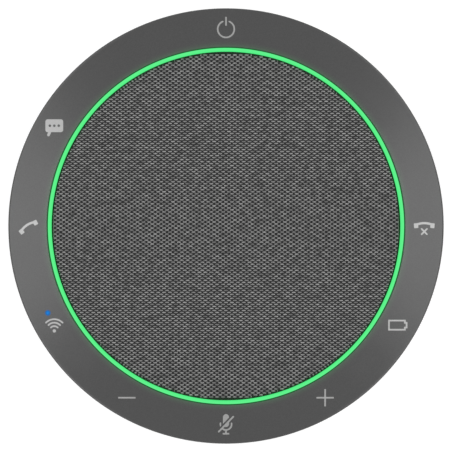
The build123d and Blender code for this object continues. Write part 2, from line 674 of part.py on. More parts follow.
def ring_connector():
    levels = (Z_BOARD_TOP, Z_BOARD_TOP + RING_CONNECTOR_HEIGHT)
    body = block(FLEX_WIDTH + SOCKET_SIDES, RING_CONNECTOR_DEPTH, *levels, 0, RING_CONNECTOR_Y)
    inner_face = RING_CONNECTOR_Y + RING_CONNECTOR_DEPTH / 2
    slit = (FLEX_TOP - THREAD_GAP, FLEX_TOP + FLEX_THICKNESS + THREAD_GAP)
    return body - block(FLEX_WIDTH + FLEX_SIDE_ROOM, 2 * SOCKET_REACH, *slit, 0, inner_face)


MAIN_FLEX_Y = MAIN_SOCKET_INSET - MAIN_BOARD_RADIUS
MAIN_FLEX_Z = MAIN_BOARD_TOP + MAIN_FLEX_LIFT


def ring_flex_cable():
    low = MAIN_FLEX_Z
    high = FLEX_TOP + FLEX_THICKNESS
    wall = -FLEX_RADIUS
    entry = RING_CONNECTOR_Y + RING_CONNECTOR_DEPTH / 2 - FLEX_END
    start = MAIN_FLEX_Y - FLEX_END
    t = FLEX_THICKNESS
    points = [(start, low), (wall - t, low), (wall - t, high - t), (entry, high - t)]
    points += [(entry, high), (wall, high), (wall, low + t), (start, low + t)]
    outline = Polyline(*[(0, y, z) for y, z in points], close=True)
    return extrude(make_face(outline), FLEX_WIDTH / 2, dir=(1, 0, 0), both=True)


# ---- top ring ----
TALL = (0, 2 * OVERALL_HEIGHT)


def ring_blank(depth):
    """The sloped and rounded outside of the ring, drawn in by depth, filled to the axis."""
    slope = math.tan(math.radians(RING_SLOPE_DEG))
    radius = OUTER_R - depth
    fall = depth / math.cos(math.radians(RING_SLOPE_DEG))
    axis_level = Z_RING_INNER + RING_INNER_R * slope - fall
    edge_level = Z_RING_INNER - (radius - RING_INNER_R) * slope - fall
    blank = turned([(0, Z_SHELL), (radius, Z_SHELL), (radius, edge_level), (0, axis_level)])
    edge_round = max(RING_EDGE_ROUND - depth, INNER_EDGE_ROUND)
    return fillet(level_edges(blank, edge_level, radius), edge_round)


def below(level):
    """A block that removes everything under a level."""
    return disc(OUTER_R + CUT_OVER, 0, level)


def control_ring_skin():
    skin = ring_blank(0) - ring_blank(SKIN_THICKNESS)
    return cut(skin, [disc(RING_INNER_R, *TALL), below(Z_SKIRT)])


def control_ring_frame():
    blank = ring_blank(SKIN_THICKNESS)
    hollow = disc(SKIRT_INNER_R, 0, Z_PLATE)
    frame = cut(blank, [hollow, below(Z_SKIRT), disc(RING_INNER_R + FIT_GAP, *TALL)])
    root = Z_PLATE + RING_POST_ROOT
    posts = discs(RING_POST_RADIUS, Z_MID_TOP, root, RING_POST_CIRCLE, RING_POST_ANGLES)
    frame = fused(frame, posts)
    reach = (Z_PLATE - CUT_OVER, OVERALL_HEIGHT + CUT_OVER)
    windows = discs(KEY_RADIUS + KEY_SIDE_GAP, *reach, KEY_CIRCLE_RADIUS, KEY_NAMES.values())
    windows += discs(STATUS_RADIUS + FIT_GAP, *reach, KEY_CIRCLE_RADIUS, [STATUS_ANGLE])
    pilots = (Z_MID_TOP - CUT_OVER, Z_PLATE)
    windows += discs(SCREW_RADIUS + THREAD_GAP, *pilots, RING_POST_CIRCLE, RING_POST_ANGLES)
    return cut(frame, windows)


def ring_frame_screws():
    points = [around(RING_POST_CIRCLE, a) for a in RING_POST_ANGLES]
    tip = Z_PLATE - RING_SCREW_END
    return [screw(x, y, Z_MID, tip, SCREW_RADIUS, head_up=False) for x, y in points]


def status_light_pipe():
    """A clear pin that lights a spot of the thin skin from below."""
    x, y = around(KEY_CIRCLE_RADIUS, STATUS_ANGLE)
    pin = disc(STATUS_RADIUS, Z_BOARD_TOP + LED_HEIGHT + STATUS_LED_GAP, OVERALL_HEIGHT, x, y)
    return pin & ring_blank(SKIN_THICKNESS + FIT_GAP)


def key(angle):
    x, y = around(KEY_CIRCLE_RADIUS, angle)
    stem = disc(KEY_RADIUS, Z_KEY_FLANGE_TOP - KEY_FLANGE_HEIGHT, OVERALL_HEIGHT, x, y)
    flange = disc(FLANGE_R, Z_KEY_FLANGE_TOP - KEY_FLANGE_HEIGHT, Z_KEY_FLANGE_TOP, x, y)
    foot_level = Z_SWITCH + SWITCH_BUTTON + KEY_TRAVEL + FIT_GAP
    foot = disc(KEY_FOOT_RADIUS, foot_level, Z_KEY_FLANGE_TOP, x, y)
    under_skin = ring_blank(SKIN_THICKNESS + KEY_TOP_GAP)
    return fused(stem & under_skin, [flange, foot])


# ---- grille ----
def grille_plate():
    radius = GRILLE_R - FABRIC_THICKNESS
    pitch = GRILLE_HOLE_RADIUS * math.sqrt(3) + GRILLE_WEB
    row_step = pitch * math.sqrt(3) / 2
    field = radius - GRILLE_RIM - GRILLE_HOLE_RADIUS
    rows = int(field / row_step)
    places = []
    for row in range(-rows, rows + 1):
        shift = (row % 2) * pitch / 2
        for column in range(-rows, rows + 1):
            x = column * pitch + shift
            y = row * row_step
            clear = [math.dist((x, y), around(PEG_CIRCLE_RADIUS, a)) > PEG_PAD for a in PEG_ANGLES]
            if math.hypot(x, y) <= field and all(clear):
                places.append((x, y))
    face = Circle(radius) - Locations(*places) * RegularPolygon(GRILLE_HOLE_RADIUS, 6, rotation=30)
    plate = Pos(0, 0, Z_GRILLE) * extrude(face, GRILLE_THICKNESS)
    pegs = discs(PEG_RADIUS, Z_MID_TOP, Z_GRILLE + PEG_ROOT, PEG_CIRCLE_RADIUS, PEG_ANGLES)
    tips = (Z_MID + PILOT_END, Z_MID_TOP + PEG_ROOT)
    pegs += discs(PEG_TIP_RADIUS, *tips, PEG_CIRCLE_RADIUS, PEG_ANGLES)
    return fused(plate, pegs)


def grille_fabric():
    cloth = disc(GRILLE_R, Z_GRILLE + FABRIC_HEM, Z_FABRIC_TOP)
    cloth = fillet(level_edges(cloth, Z_FABRIC_TOP, GRILLE_R), FABRIC_THICKNESS)
    return cloth - disc(GRILLE_R - FABRIC_THICKNESS, Z_GRILLE - CUT_OVER, Z_GRILLE_TOP)


# ---- speaker ----
def speaker_chamber():
    upper = disc(CHAMBER_RADIUS, Z_SHELL_PLATE, Z_CHAMBER_TOP)
    lower = disc(CHAMBER_DROP_RADIUS, CHAMBER_FLOOR_HEIGHT, Z_SHELL_PLATE)
    tub = fused(upper, [lower])
    inside = disc(CHAMBER_RADIUS - CHAMBER_WALL, Z_SHELL_PLATE + CHAMBER_WALL, Z_CHAMBER_TOP + CUT_OVER)
    floor_top = CHAMBER_FLOOR_HEIGHT + CHAMBER_WALL
    well = disc(CHAMBER_DROP_RADIUS - CHAMBER_WALL, floor_top, Z_CHAMBER_TOP)
    lead_room = LEAD_RADIUS + FIT_GAP
    leads = [disc(lead_room, 0, Z_SHELL_PLATE, -LEAD_CIRCLE, y) for y in (-LEAD_SPREAD, LEAD_SPREAD)]
    return cut(tub, [inside, well] + leads)


def chamber_gasket():
    return annulus(CHAMBER_RADIUS - CHAMBER_WALL, CHAMBER_RADIUS, Z_CHAMBER_TOP, Z_MID)


def driver_gasket():
    ring = annulus(DRIVER_HOLE_R, DRIVER_FLANGE_RADIUS, Z_MID_TOP, Z_FLANGE)
    reach = (Z_MID_TOP - CUT_OVER, Z_FLANGE + CUT_OVER)
    return cut(ring, discs(SCREW_RADIUS + FIT_GAP, *reach, DRIVER_SCREW_CIRCLE, DRIVER_SCREW_ANGLES))


WINDOW_ANGLES = (30, 90, 150, 210, 270, 330)


def driver_basket():
    flange = annulus(ROLL_OUTER_R - BASKET_LIP_INSET, DRIVER_FLANGE_RADIUS, Z_FLANGE, Z_FLANGE_TOP)
    seat_r = YOKE_R + BASKET_WALL
    ledge_r = SPIDER_RADIUS + SPIDER_LEDGE_OUT
    level = Z_MOTOR_TOP
    cup = turned(
        [
            (YOKE_R + FIT_GAP / 2, level - BASKET_SEAT_DEPTH),
            (seat_r, level - BASKET_SEAT_DEPTH),
            (ledge_r, LEDGE_LEVEL - BASKET_WALL),
            (DRIVER_BODY_RADIUS, Z_FLANGE - BASKET_SEAT_DEPTH),
            (DRIVER_BODY_RADIUS, Z_FLANGE_TOP),
            (DRIVER_BODY_RADIUS - BASKET_WALL / 2, Z_FLANGE_TOP),
            (DRIVER_BODY_RADIUS - BASKET_WALL, Z_FLANGE - BASKET_SHOULDER),
            (ledge_r, LEDGE_LEVEL),
            (SPIDER_RADIUS - SPIDER_LEDGE_WIDTH, LEDGE_LEVEL),
            (YOKE_R + FIT_GAP / 2, level),
        ]
    )
    basket = fused(flange, [cup])
    levels = (LEDGE_LEVEL - BASKET_WINDOW_LOW, Z_FLANGE - BASKET_WINDOW_TOP)
    windows = []
    for angle in WINDOW_ANGLES:
        x, y = around((ledge_r + DRIVER_BODY_RADIUS) / 2, angle)
        windows.append(block(BASKET_WINDOW_LENGTH, BASKET_WINDOW_WIDTH, *levels, x, y, angle))
    reach = (Z_FLANGE - CUT_OVER, Z_FLANGE_TOP + CUT_OVER)
    holes = discs(SCREW_RADIUS + FIT_GAP, *reach, DRIVER_SCREW_CIRCLE, DRIVER_SCREW_ANGLES)
    return cut(basket, windows + holes)


def driver_screws():
    points = [around(DRIVER_SCREW_CIRCLE, a) for a in DRIVER_SCREW_ANGLES]
    return [screw(x, y, Z_FLANGE_TOP, Z_MID + PILOT_END / 2, SCREW_RADIUS) for x, y in points]


def driver_yoke():
    cup = disc(YOKE_R, Z_YOKE, Z_MOTOR_TOP) - disc(YOKE_INNER_RADIUS, Z_MAGNET, Z_MOTOR_TOP + CUT_OVER)
    return fillet(level_edges(cup, Z_YOKE, YOKE_R), YOKE_EDGE_ROUND)


def driver_magnet():
    return disc(MAGNET_RADIUS, Z_MAGNET, Z_TOP_PLATE)


def driver_top_plate():
    return disc(TOP_PLATE_RADIUS, Z_TOP_PLATE, Z_MOTOR_TOP)


WINDING_CENTRE = Z_TOP_PLATE + TOP_PLATE_HEIGHT / 2


def coil_former():
    low = WINDING_CENTRE - WINDING_HEIGHT / 2 - FORMER_END
    return annulus(COIL_INNER_RADIUS, FORMER_R, low, Z_CONE_NECK + FORMER_NECK)


def voice_coil():
    half = WINDING_HEIGHT / 2
    return annulus(FORMER_R, WINDING_R, WINDING_CENTRE - half, WINDING_CENTRE + half)


def cone():
    edge = CONE_RADIUS
    rim = edge - CONE_RIM_WIDTH
    top = Z_FLANGE_TOP - CONE_WALL
    return turned(
        [
            (FORMER_R, Z_CONE_NECK),
            (CONE_NECK_RADIUS + CONE_SKEW, Z_CONE_NECK),
            (rim + CONE_SKEW, top),
            (edge, top),
            (edge, Z_FLANGE_TOP),
            (rim, Z_FLANGE_TOP),
            (FORMER_R, Z_CONE_NECK + CONE_WALL),
        ]
    )


def dust_cap():
    slope = (CONE_DEPTH - CONE_WALL) / (CONE_RADIUS - CONE_RIM_WIDTH - FORMER_R)
    seat = Z_CONE_NECK + CONE_WALL + (DUST_CAP_RADIUS - FORMER_R) * slope + FIT_GAP
    rise = DUST_CAP_RISE
    ball = (DUST_CAP_RADIUS**2 + rise**2) / (2 * rise)
    dome = Pos(0, 0, seat + rise - ball) * (Sphere(ball) - Sphere(ball - CONE_WALL))
    return dome & disc(DUST_CAP_RADIUS, seat, seat + rise + CUT_OVER)


ROLL_RADIUS = (ROLL_OUTER_R - CONE_RADIUS) / 2


def surround():
    """A half roll of rubber, glued on top of the cone's rim and of the basket's flange."""
    middle = (ROLL_OUTER_R + CONE_RADIUS) / 2
    z = Z_FLANGE_TOP
    ring = Pos(0, 0, z) * (Torus(middle, ROLL_RADIUS) - Torus(middle, ROLL_RADIUS - SURROUND_WALL))
    roll = ring & disc(ROLL_OUTER_R + CUT_OVER, z, z + ROLL_RADIUS + CUT_OVER)
    lip_top = z + SURROUND_WALL
    inner_lip = annulus(CONE_RADIUS - SURROUND_INNER_LIP, CONE_RADIUS + LIP_OVERLAP, z, lip_top)
    outer_lip = annulus(ROLL_OUTER_R - LIP_OVERLAP, ROLL_OUTER_R + SURROUND_OUTER_LIP, z, lip_top)
    return fused(roll, [inner_lip, outer_lip])


def spider():
    """A corrugated cloth disc that centres the coil, from the former to the basket's ledge."""
    span = SPIDER_RADIUS - FORMER_R - FIT_GAP
    steps = SPIDER_WAVES * 4
    top = []
    for index in range(steps + 1):
        r = FORMER_R + FIT_GAP + span * index / steps
        wave = SPIDER_WAVE_HEIGHT * math.cos(2 * math.pi * SPIDER_WAVES * index / steps)
        top.append((r, LEDGE_LEVEL + SPIDER_LIFT - wave))
    base = [(r, z - SPIDER_WALL) for r, z in reversed(top)]
    return turned(top + base)


def driver_terminal():
    x = -(DRIVER_BODY_RADIUS + FIT_GAP)
    plate_levels = (Z_MID - TERMINAL_LOW, Z_MID - TERMINAL_HIGH)
    plate = block(TERMINAL_PLATE, TERMINAL_WIDTH, *plate_levels, x - TERMINAL_PLATE / 2, 0)
    levels = (Z_MID - TAB_LOW, Z_MID - TAB_HIGH)
    tabs = []
    for y in (-LEAD_SPREAD, LEAD_SPREAD):
        tabs.append(block(TAB_LENGTH, TAB_WIDTH, *levels, x - TAB_CENTRE, y))
    return fused(plate, tabs)


SPEAKER_PLUG_TOP = MAIN_BOARD_TOP + SPEAKER_PLUG_HEIGHT


def speaker_leads():
    low = SPEAKER_PLUG_TOP
    high = Z_MID - TAB_LOW
    return [disc(LEAD_RADIUS, low, high, -LEAD_CIRCLE, y) for y in (-LEAD_SPREAD, LEAD_SPREAD)]


# ---- main electronics ----
def main_board():
    board = disc(MAIN_BOARD_RADIUS, MAIN_BOARD_Z, MAIN_BOARD_TOP)
    reach = (MAIN_BOARD_Z - CUT_OVER, MAIN_BOARD_TOP + CUT_OVER)
    window = block(WINDOW_LENGTH, WINDOW_WIDTH, *reach)
    holes = discs(SCREW_RADIUS + FIT_GAP, *reach, STANDOFF_CIRCLE, STANDOFF_ANGLES)
    return cut(board, [window] + holes)


def board_chips():
    """Processor, amplifier, power chips and inductors: length, width, height, x, y."""
    sizes = [
        (7.0, 7.0, 0.9, 12.0, 33.0),
        (5.0, 5.0, 0.8, 20.0, 31.0),
        (4.0, 4.0, 1.2, 5.0, 27.5),
        (4.0, 4.0, 1.2, -1.0, 27.5),
        (5.0, 4.0, 0.8, 34.0, 14.0),
        (3.0, 3.0, 0.8, 35.0, -12.0),
        (6.0, 5.0, 0.9, -12.0, -31.0),
        (4.0, 4.0, 1.2, 14.0, -30.0),
    ]
    top = MAIN_BOARD_TOP
    return [block(length, width, top, top + height, x, y) for length, width, height, x, y in sizes]


def shield_can():
    place = (SHIELD_X, SHIELD_Y)
    can = block(SHIELD_LENGTH, SHIELD_WIDTH, MAIN_BOARD_TOP, MAIN_BOARD_TOP + SHIELD_HEIGHT, *place)
    can = fillet(can.edges().filter_by(Axis.Z), SHIELD_ROUND)
    inside = (MAIN_BOARD_TOP - CUT_OVER, MAIN_BOARD_TOP + SHIELD_HEIGHT - SHIELD_WALL)
    return can - block(SHIELD_LENGTH - 2 * SHIELD_WALL, SHIELD_WIDTH - 2 * SHIELD_WALL, *inside, *place)


def board_connectors():
    """Speaker plug, battery plug, and the flat socket of the ring's cable."""
    top = MAIN_BOARD_TOP
    speaker = block(SPEAKER_PLUG_SIZE, SPEAKER_PLUG_WIDTH, top, SPEAKER_PLUG_TOP, -LEAD_CIRCLE, 0)
    plug_levels = (top, top + BATTERY_PLUG_HEIGHT)
    battery = block(BATTERY_PLUG_SIZE, BATTERY_PLUG_WIDTH, *plug_levels, BATTERY_PLUG_X, 0)
    length = FLEX_WIDTH + SOCKET_SIDES
    ring = block(length, MAIN_SOCKET_DEPTH, top, top + MAIN_SOCKET_HEIGHT, 0, MAIN_FLEX_Y)
    outer_face = MAIN_FLEX_Y - MAIN_SOCKET_DEPTH / 2
    slit = (MAIN_FLEX_Z - THREAD_GAP, MAIN_FLEX_Z + FLEX_THICKNESS + THREAD_GAP)
    mouth = block(FLEX_WIDTH + FLEX_SIDE_ROOM, MAIN_SOCKET_MOUTH, *slit, 0, outer_face)
    return [speaker, battery, ring - mouth]


def antenna():
    levels = (MAIN_BOARD_TOP, MAIN_BOARD_TOP + ANTENNA_HEIGHT)
    return block(ANTENNA_LENGTH, ANTENNA_WIDTH, *levels, ANTENNA_X, MAIN_BOARD_RADIUS - ANTENNA_INSET)


def main_board_screws():
    points = [around(STANDOFF_CIRCLE, a) for a in STANDOFF_ANGLES]
    tip = Z_BASE_TOP + BOSS_CAP
    return [screw(x, y, MAIN_BOARD_TOP, tip, SCREW_RADIUS) for x, y in points]


def battery_tape():
    length = BATTERY_LENGTH - 2 * TAPE_INSET
    width = BATTERY_WIDTH - 2 * TAPE_INSET
    return block(length, width, Z_DRUM_FLOOR, Z_BATTERY)


def battery_pack():
    cell = block(BATTERY_LENGTH, BATTERY_WIDTH, Z_BATTERY, Z_BATTERY + BATTERY_HEIGHT)
    return fillet(cell.edges().filter_by(Axis.X), BATTERY_EDGE_ROUND)


def battery_leads():
    face = BATTERY_LENGTH / 2
    end = BATTERY_PLUG_X - BATTERY_PLUG_SIZE / 2
    lead_z = MAIN_BOARD_TOP + BATTERY_LEAD_LIFT
    middle = Pos((face + end) / 2, 0, lead_z)
    lead = Cylinder(BATTERY_LEAD_RADIUS, end - face, rotation=(0, 90, 0))
    return [middle * Pos(0, y, 0) * lead for y in (-BATTERY_LEAD_SPREAD, BATTERY_LEAD_SPREAD)]


def pieces():
    """Every node's name and its solid, or its list of solids."""
    makers = [rubber_foot, base_cover, base_screws, lower_tub, tub_seal, cable_gland]
    makers += [side_shell, shell_screws, mid_frame, mid_frame_screws]
    makers += [ring_board, ring_board_screws, ring_leds, tact_switches, mic_capsules, mic_boots]
    makers += [ring_connector, ring_flex_cable, light_barrier, light_guide_ring]
    makers += [control_ring_frame, control_ring_skin, ring_frame_screws, status_light_pipe]
    makers += [grille_plate, grille_fabric, speaker_chamber, chamber_gasket]
    makers += [driver_gasket, driver_basket, driver_screws, driver_terminal, driver_yoke]
    makers += [driver_magnet, driver_top_plate, coil_former, voice_coil, cone, dust_cap]
    makers += [surround, spider, speaker_leads, main_board, board_chips, shield_can]
    makers += [board_connectors, antenna, main_board_screws, battery_tape, battery_pack]
    makers += [battery_leads]
    made = [(maker.__name__, maker()) for maker in makers]
    made += [(f"key_{name}", key(angle)) for name, angle in KEY_NAMES.items()]
    return made


os.makedirs("parts", exist_ok=True)
for node, shape in pieces():
    solids = shape if isinstance(shape, list) else [shape]
    found = [solid for item in solids for solid in item.solids()]
    export_step(Compound(children=found), f"parts/{node}.step")
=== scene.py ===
import math

import bpy
import numpy as np
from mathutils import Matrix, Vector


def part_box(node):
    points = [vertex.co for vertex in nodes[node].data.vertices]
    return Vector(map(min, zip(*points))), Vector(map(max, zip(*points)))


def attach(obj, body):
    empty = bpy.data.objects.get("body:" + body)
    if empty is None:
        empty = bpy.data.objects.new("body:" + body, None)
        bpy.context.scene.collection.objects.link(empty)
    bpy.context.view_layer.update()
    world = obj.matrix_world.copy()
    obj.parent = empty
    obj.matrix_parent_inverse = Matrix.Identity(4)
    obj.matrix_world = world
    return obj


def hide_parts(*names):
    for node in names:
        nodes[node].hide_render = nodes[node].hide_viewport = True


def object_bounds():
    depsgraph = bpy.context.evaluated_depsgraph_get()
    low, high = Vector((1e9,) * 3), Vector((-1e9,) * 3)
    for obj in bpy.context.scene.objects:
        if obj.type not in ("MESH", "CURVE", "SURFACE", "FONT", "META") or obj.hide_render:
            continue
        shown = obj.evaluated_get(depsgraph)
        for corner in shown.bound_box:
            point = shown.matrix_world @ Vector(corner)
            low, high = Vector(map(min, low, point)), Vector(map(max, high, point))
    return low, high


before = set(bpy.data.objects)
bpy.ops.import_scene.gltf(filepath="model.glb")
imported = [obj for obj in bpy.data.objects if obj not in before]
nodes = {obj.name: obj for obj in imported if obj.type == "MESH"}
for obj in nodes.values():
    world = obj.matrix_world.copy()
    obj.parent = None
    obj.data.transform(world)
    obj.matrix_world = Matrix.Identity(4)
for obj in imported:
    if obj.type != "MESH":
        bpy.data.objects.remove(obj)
# The CAD box has to be read before any other mesh is there.
cad_low, cad_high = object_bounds()

# ---------------------------------------------------------------------------------------
# Rubber foot ring. One moulded ring of soft black rubber, bonded in a groove of the base.
# Its underside has fine grip ribs, and its edges are rolled.
# ---------------------------------------------------------------------------------------
MM = 0.001


def new_material(name):
    """An empty node material and its shader, with a place on the object to read patterns from."""
    material = bpy.data.materials.new(name)
    material.use_nodes = True
    tree = material.node_tree
    shader = tree.nodes["Principled BSDF"]
    place = tree.nodes.new("ShaderNodeTexCoord")
    return material, tree, shader, place.outputs["Object"]


def noise(tree, place, size, detail=3.0, stretch=(1, 1, 1), rough=0.55):
    """Soft random blotches whose size is given in metres."""
    scaled = tree.nodes.new("ShaderNodeMapping")
    scaled.inputs["Scale"].default_value = stretch
    tree.links.new(place, scaled.inputs["Vector"])
    texture = tree.nodes.new("ShaderNodeTexNoise")
    texture.inputs["Scale"].default_value = 1 / size
    texture.inputs["Detail"].default_value = detail
    texture.inputs["Roughness"].default_value = rough
    tree.links.new(scaled.outputs["Vector"], texture.inputs["Vector"])
    return texture.outputs["Fac"]


def spread(tree, value, low, high, from_low=0.3, from_high=0.7):
    """A pattern's values brought between two limits."""
    node = tree.nodes.new("ShaderNodeMapRange")
    node.inputs["From Min"].default_value = from_low
    node.inputs["From Max"].default_value = from_high
    node.inputs["To Min"].default_value = low
    node.inputs["To Max"].default_value = high
    tree.links.new(value, node.inputs["Value"])
    return node.outputs["Result"]


def two_tone(tree, value, dark, light, from_low=0.3, from_high=0.7):
    """A colour that runs from dark to light with a pattern's value."""
    ramp = tree.nodes.new("ShaderNodeValToRGB")
    ramp.color_ramp.elements[0].position = from_low
    ramp.color_ramp.elements[1].position = from_high
    ramp.color_ramp.elements[0].color = (*dark, 1)
    ramp.color_ramp.elements[1].color = (*light, 1)
    tree.links.new(value, ramp.inputs["Fac"])
    return ramp.outputs["Color"]


def bump(tree, shader, height, depth):
    """Raises the surface by depth, in metres, where the pattern is high."""
    node = tree.nodes.new("ShaderNodeBump")
    node.inputs["Distance"].default_value = depth
    tree.links.new(height, node.inputs["Height"])
    tree.links.new(node.outputs["Normal"], shader.inputs["Normal"])


def shade(colour, factor):
    """A colour made darker or lighter."""
    return tuple(min(c * factor, 1.0) for c in colour)


FINE_SHARE = 0.6
BROAD_SHARE = 0.4
MOTTLE_SIZE = 6 * MM
SHINE_SPREAD = 0.05


def moulded(name, colour, roughness, grain=0.3 * MM, depth=0.01 * MM, mottle=0.08):
    """Moulded plastic or rubber: a fine eroded texture from the tool, and faint mottling."""
    material, tree, shader, place = new_material(name)
    fine = noise(tree, place, grain, 2.0)
    broad = noise(tree, place, MOTTLE_SIZE, 3.0)
    mixed = tree.nodes.new("ShaderNodeMath")
    mixed.operation = "MULTIPLY_ADD"
    mixed.inputs[1].default_value = FINE_SHARE
    tree.links.new(fine, mixed.inputs[0])
    weakened = tree.nodes.new("ShaderNodeMath")
    weakened.operation = "MULTIPLY"
    weakened.inputs[1].default_value = BROAD_SHARE
    tree.links.new(broad, weakened.inputs[0])
    tree.links.new(weakened.outputs[0], mixed.inputs[2])
    tone = two_tone(tree, mixed.outputs[0], shade(colour, 1 - mottle), shade(colour, 1 + mottle))
    tree.links.new(tone, shader.inputs["Base Color"])
    shine = spread(tree, broad, roughness - SHINE_SPREAD, roughness + SHINE_SPREAD)
    tree.links.new(shine, shader.inputs["Roughness"])
    bump(tree, shader, fine, depth)
    return material


def solid_from(name, points, faces, material, body="housing", smooth=True):
    """A mesh piece made of points in metres, riding on a body."""
    data = bpy.data.meshes.new(name)
    data.from_pydata([tuple(p) for p in points], [], faces)
    data.materials.append(material)
    if smooth:
        data.shade_smooth()
    piece = bpy.data.objects.new(name, data)
    bpy.context.scene.collection.objects.link(piece)
    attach(piece, body)
    return piece


def arc(centre_r, centre_z, radius, start, end, steps):
    """Points of an outline's round stretch. Angles in degrees, from outwards to upwards."""
    turns = np.radians(np.linspace(start, end, steps + 1))
    return [(centre_r + radius * math.cos(t), centre_z + radius * math.sin(t)) for t in turns]


def lathed(name, outline, material, steps):
    """A closed outline of (radius, height) points turned about the Z axis."""
    count = len(outline)
    points = []
    for step in range(steps):
        turn = 2 * math.pi * step / steps
        points += [(r * math.cos(turn), r * math.sin(turn), z) for r, z in outline]
    faces = []
    for step in range(steps):
        here, there = step * count, (step + 1) % steps * count
        for k in range(count):
            following = (k + 1) % count
            faces.append((here + k, there + k, there + following, here + following))
    return solid_from(name, points, faces, material)


foot_low, foot_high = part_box("rubber_foot")
FOOT_WIDTH = 8.0 * MM
FOOT_EDGE = 0.35 * MM
RIB_DEPTH = 0.12 * MM
RIB_COUNT = 9
RIB_MARGIN = 0.8 * MM
# Where a groove between two ribs starts, reaches its depth, leaves it and ends, in pitches.
GROOVE_SHAPE = ((0, 0), (0.15, RIB_DEPTH), (0.45, RIB_DEPTH), (0.60, 0))
FOOT_STEPS = 360

foot_outer = foot_high.x
foot_inner = foot_outer - FOOT_WIDTH
foot_outline = [(foot_outer, foot_high.z), (foot_inner, foot_high.z)]
foot_outline += arc(foot_inner + FOOT_EDGE, foot_low.z + FOOT_EDGE, FOOT_EDGE, 180, 270, 5)
rib_start = foot_inner + RIB_MARGIN
rib_pitch = (FOOT_WIDTH - 2 * RIB_MARGIN) / RIB_COUNT
for rib in range(RIB_COUNT):
    for share, rise in GROOVE_SHAPE:
        foot_outline.append((rib_start + (rib + share) * rib_pitch, foot_low.z + rise))
foot_outline += arc(foot_outer - FOOT_EDGE, foot_low.z + FOOT_EDGE, FOOT_EDGE, 270, 360, 5)
rubber = moulded("black_rubber", (0.020, 0.020, 0.021), 0.78,
                 grain=0.2 * MM, depth=0.008 * MM, mottle=0.15)
foot = lathed("foot_ring_rubber", foot_outline, rubber, FOOT_STEPS)
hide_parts("rubber_foot")


def paint(material, *names):
    """Puts one material on CAD nodes."""
    for name in names:
        data = nodes[name].data
        if not data.materials:
            data.materials.append(material)
        for index in range(len(data.materials)):
            data.materials[index] = material


base_plastic = moulded("black_base_plastic", (0.026, 0.026, 0.028), 0.56,
                       grain=0.35 * MM, depth=0.016 * MM, mottle=0.12)
paint(base_plastic, "base_cover", "lower_tub", "speaker_chamber", "mid_frame", "driver_basket")
paint(base_plastic, "control_ring_frame", "grille_plate", "light_barrier")
paint(rubber, "cable_gland", "tub_seal", "mic_boots", "chamber_gasket", "driver_gasket", "surround")

# ---------------------------------------------------------------------------------------
# Screws. Small thread-forming screws of zinc plated steel, cross headed, with turning marks
# round the head. They are driven into plain holes in the plastic posts.
# ---------------------------------------------------------------------------------------
BRUSHED_SIZE = 0.4 * MM
BRUSHED_DEPTH = 0.002 * MM
BRUSHED_SPREAD = 0.08


def plated(name, colour, roughness, brushing=(1, 1, 12)):
    """Bare or plated metal: fine brushed lines, and a slightly uneven shine."""
    material, tree, shader, place = new_material(name)
    lines = noise(tree, place, BRUSHED_SIZE, 4.0, brushing)
    shader.inputs["Metallic"].default_value = 1.0
    tone = two_tone(tree, lines, shade(colour, 0.8), shade(colour, 1.1))
    tree.links.new(tone, shader.inputs["Base Color"])
    shine = spread(tree, lines, roughness - BRUSHED_SPREAD, roughness + BRUSHED_SPREAD)
    tree.links.new(shine, shader.inputs["Roughness"])
    bump(tree, shader, lines, BRUSHED_DEPTH)
    return material


zinc = plated("zinc_screws", (0.52, 0.52, 0.53), 0.34)
paint(zinc, *[name for name in nodes if name.endswith("_screws")])

# ---------------------------------------------------------------------------------------
# Battery and its tape. A lithium pouch sealed in creased aluminium foil. A double sided
# foam tape sticks it to the floor of the drum.
# ---------------------------------------------------------------------------------------
CREASE_SIZE = 4 * MM
CREASE_DEPTH = 0.15 * MM

foil, foil_tree, foil_shader, foil_place = new_material("pouch_foil")
creases = noise(foil_tree, foil_place, CREASE_SIZE, 5.0, rough=0.7)
foil_shader.inputs["Metallic"].default_value = 0.9
foil_tone = two_tone(foil_tree, creases, (0.52, 0.53, 0.55), (0.72, 0.73, 0.75))
foil_tree.links.new(foil_tone, foil_shader.inputs["Base Color"])
foil_tree.links.new(spread(foil_tree, creases, 0.28, 0.45), foil_shader.inputs["Roughness"])
bump(foil_tree, foil_shader, creases, CREASE_DEPTH)
paint(foil, "battery_pack")
foam = moulded("black_foam", (0.03, 0.03, 0.03), 0.9,
               grain=0.4 * MM, depth=0.08 * MM, mottle=0.3)
paint(foam, "battery_tape")

# ---------------------------------------------------------------------------------------
# Circuit boards. Glass epoxy under green solder mask, with copper tracks showing through.
# The main board is screwed to posts on the drum's floor, the ring board to the mid frame.
# ---------------------------------------------------------------------------------------
TRACKS_PER_METRE = 420
TRACK_GAP = 0.05
TRACK_DEPTH = 0.03 * MM

board, board_tree, board_shader, board_place = new_material("green_solder_mask")
tracks = board_tree.nodes.new("ShaderNodeTexBrick")
tracks.inputs["Scale"].default_value = TRACKS_PER_METRE
tracks.inputs["Mortar Size"].default_value = TRACK_GAP
tracks.inputs["Color1"].default_value = (0.012, 0.085, 0.035, 1)
tracks.inputs["Color2"].default_value = (0.016, 0.110, 0.045, 1)
tracks.inputs["Mortar"].default_value = (0.035, 0.200, 0.080, 1)
board_tree.links.new(board_place, tracks.inputs["Vector"])
board_tree.links.new(tracks.outputs["Color"], board_shader.inputs["Base Color"])
board_shader.inputs["Roughness"].default_value = 0.32
bump(board_tree, board_shader, tracks.outputs["Fac"], TRACK_DEPTH)
paint(board, "main_board", "ring_board")

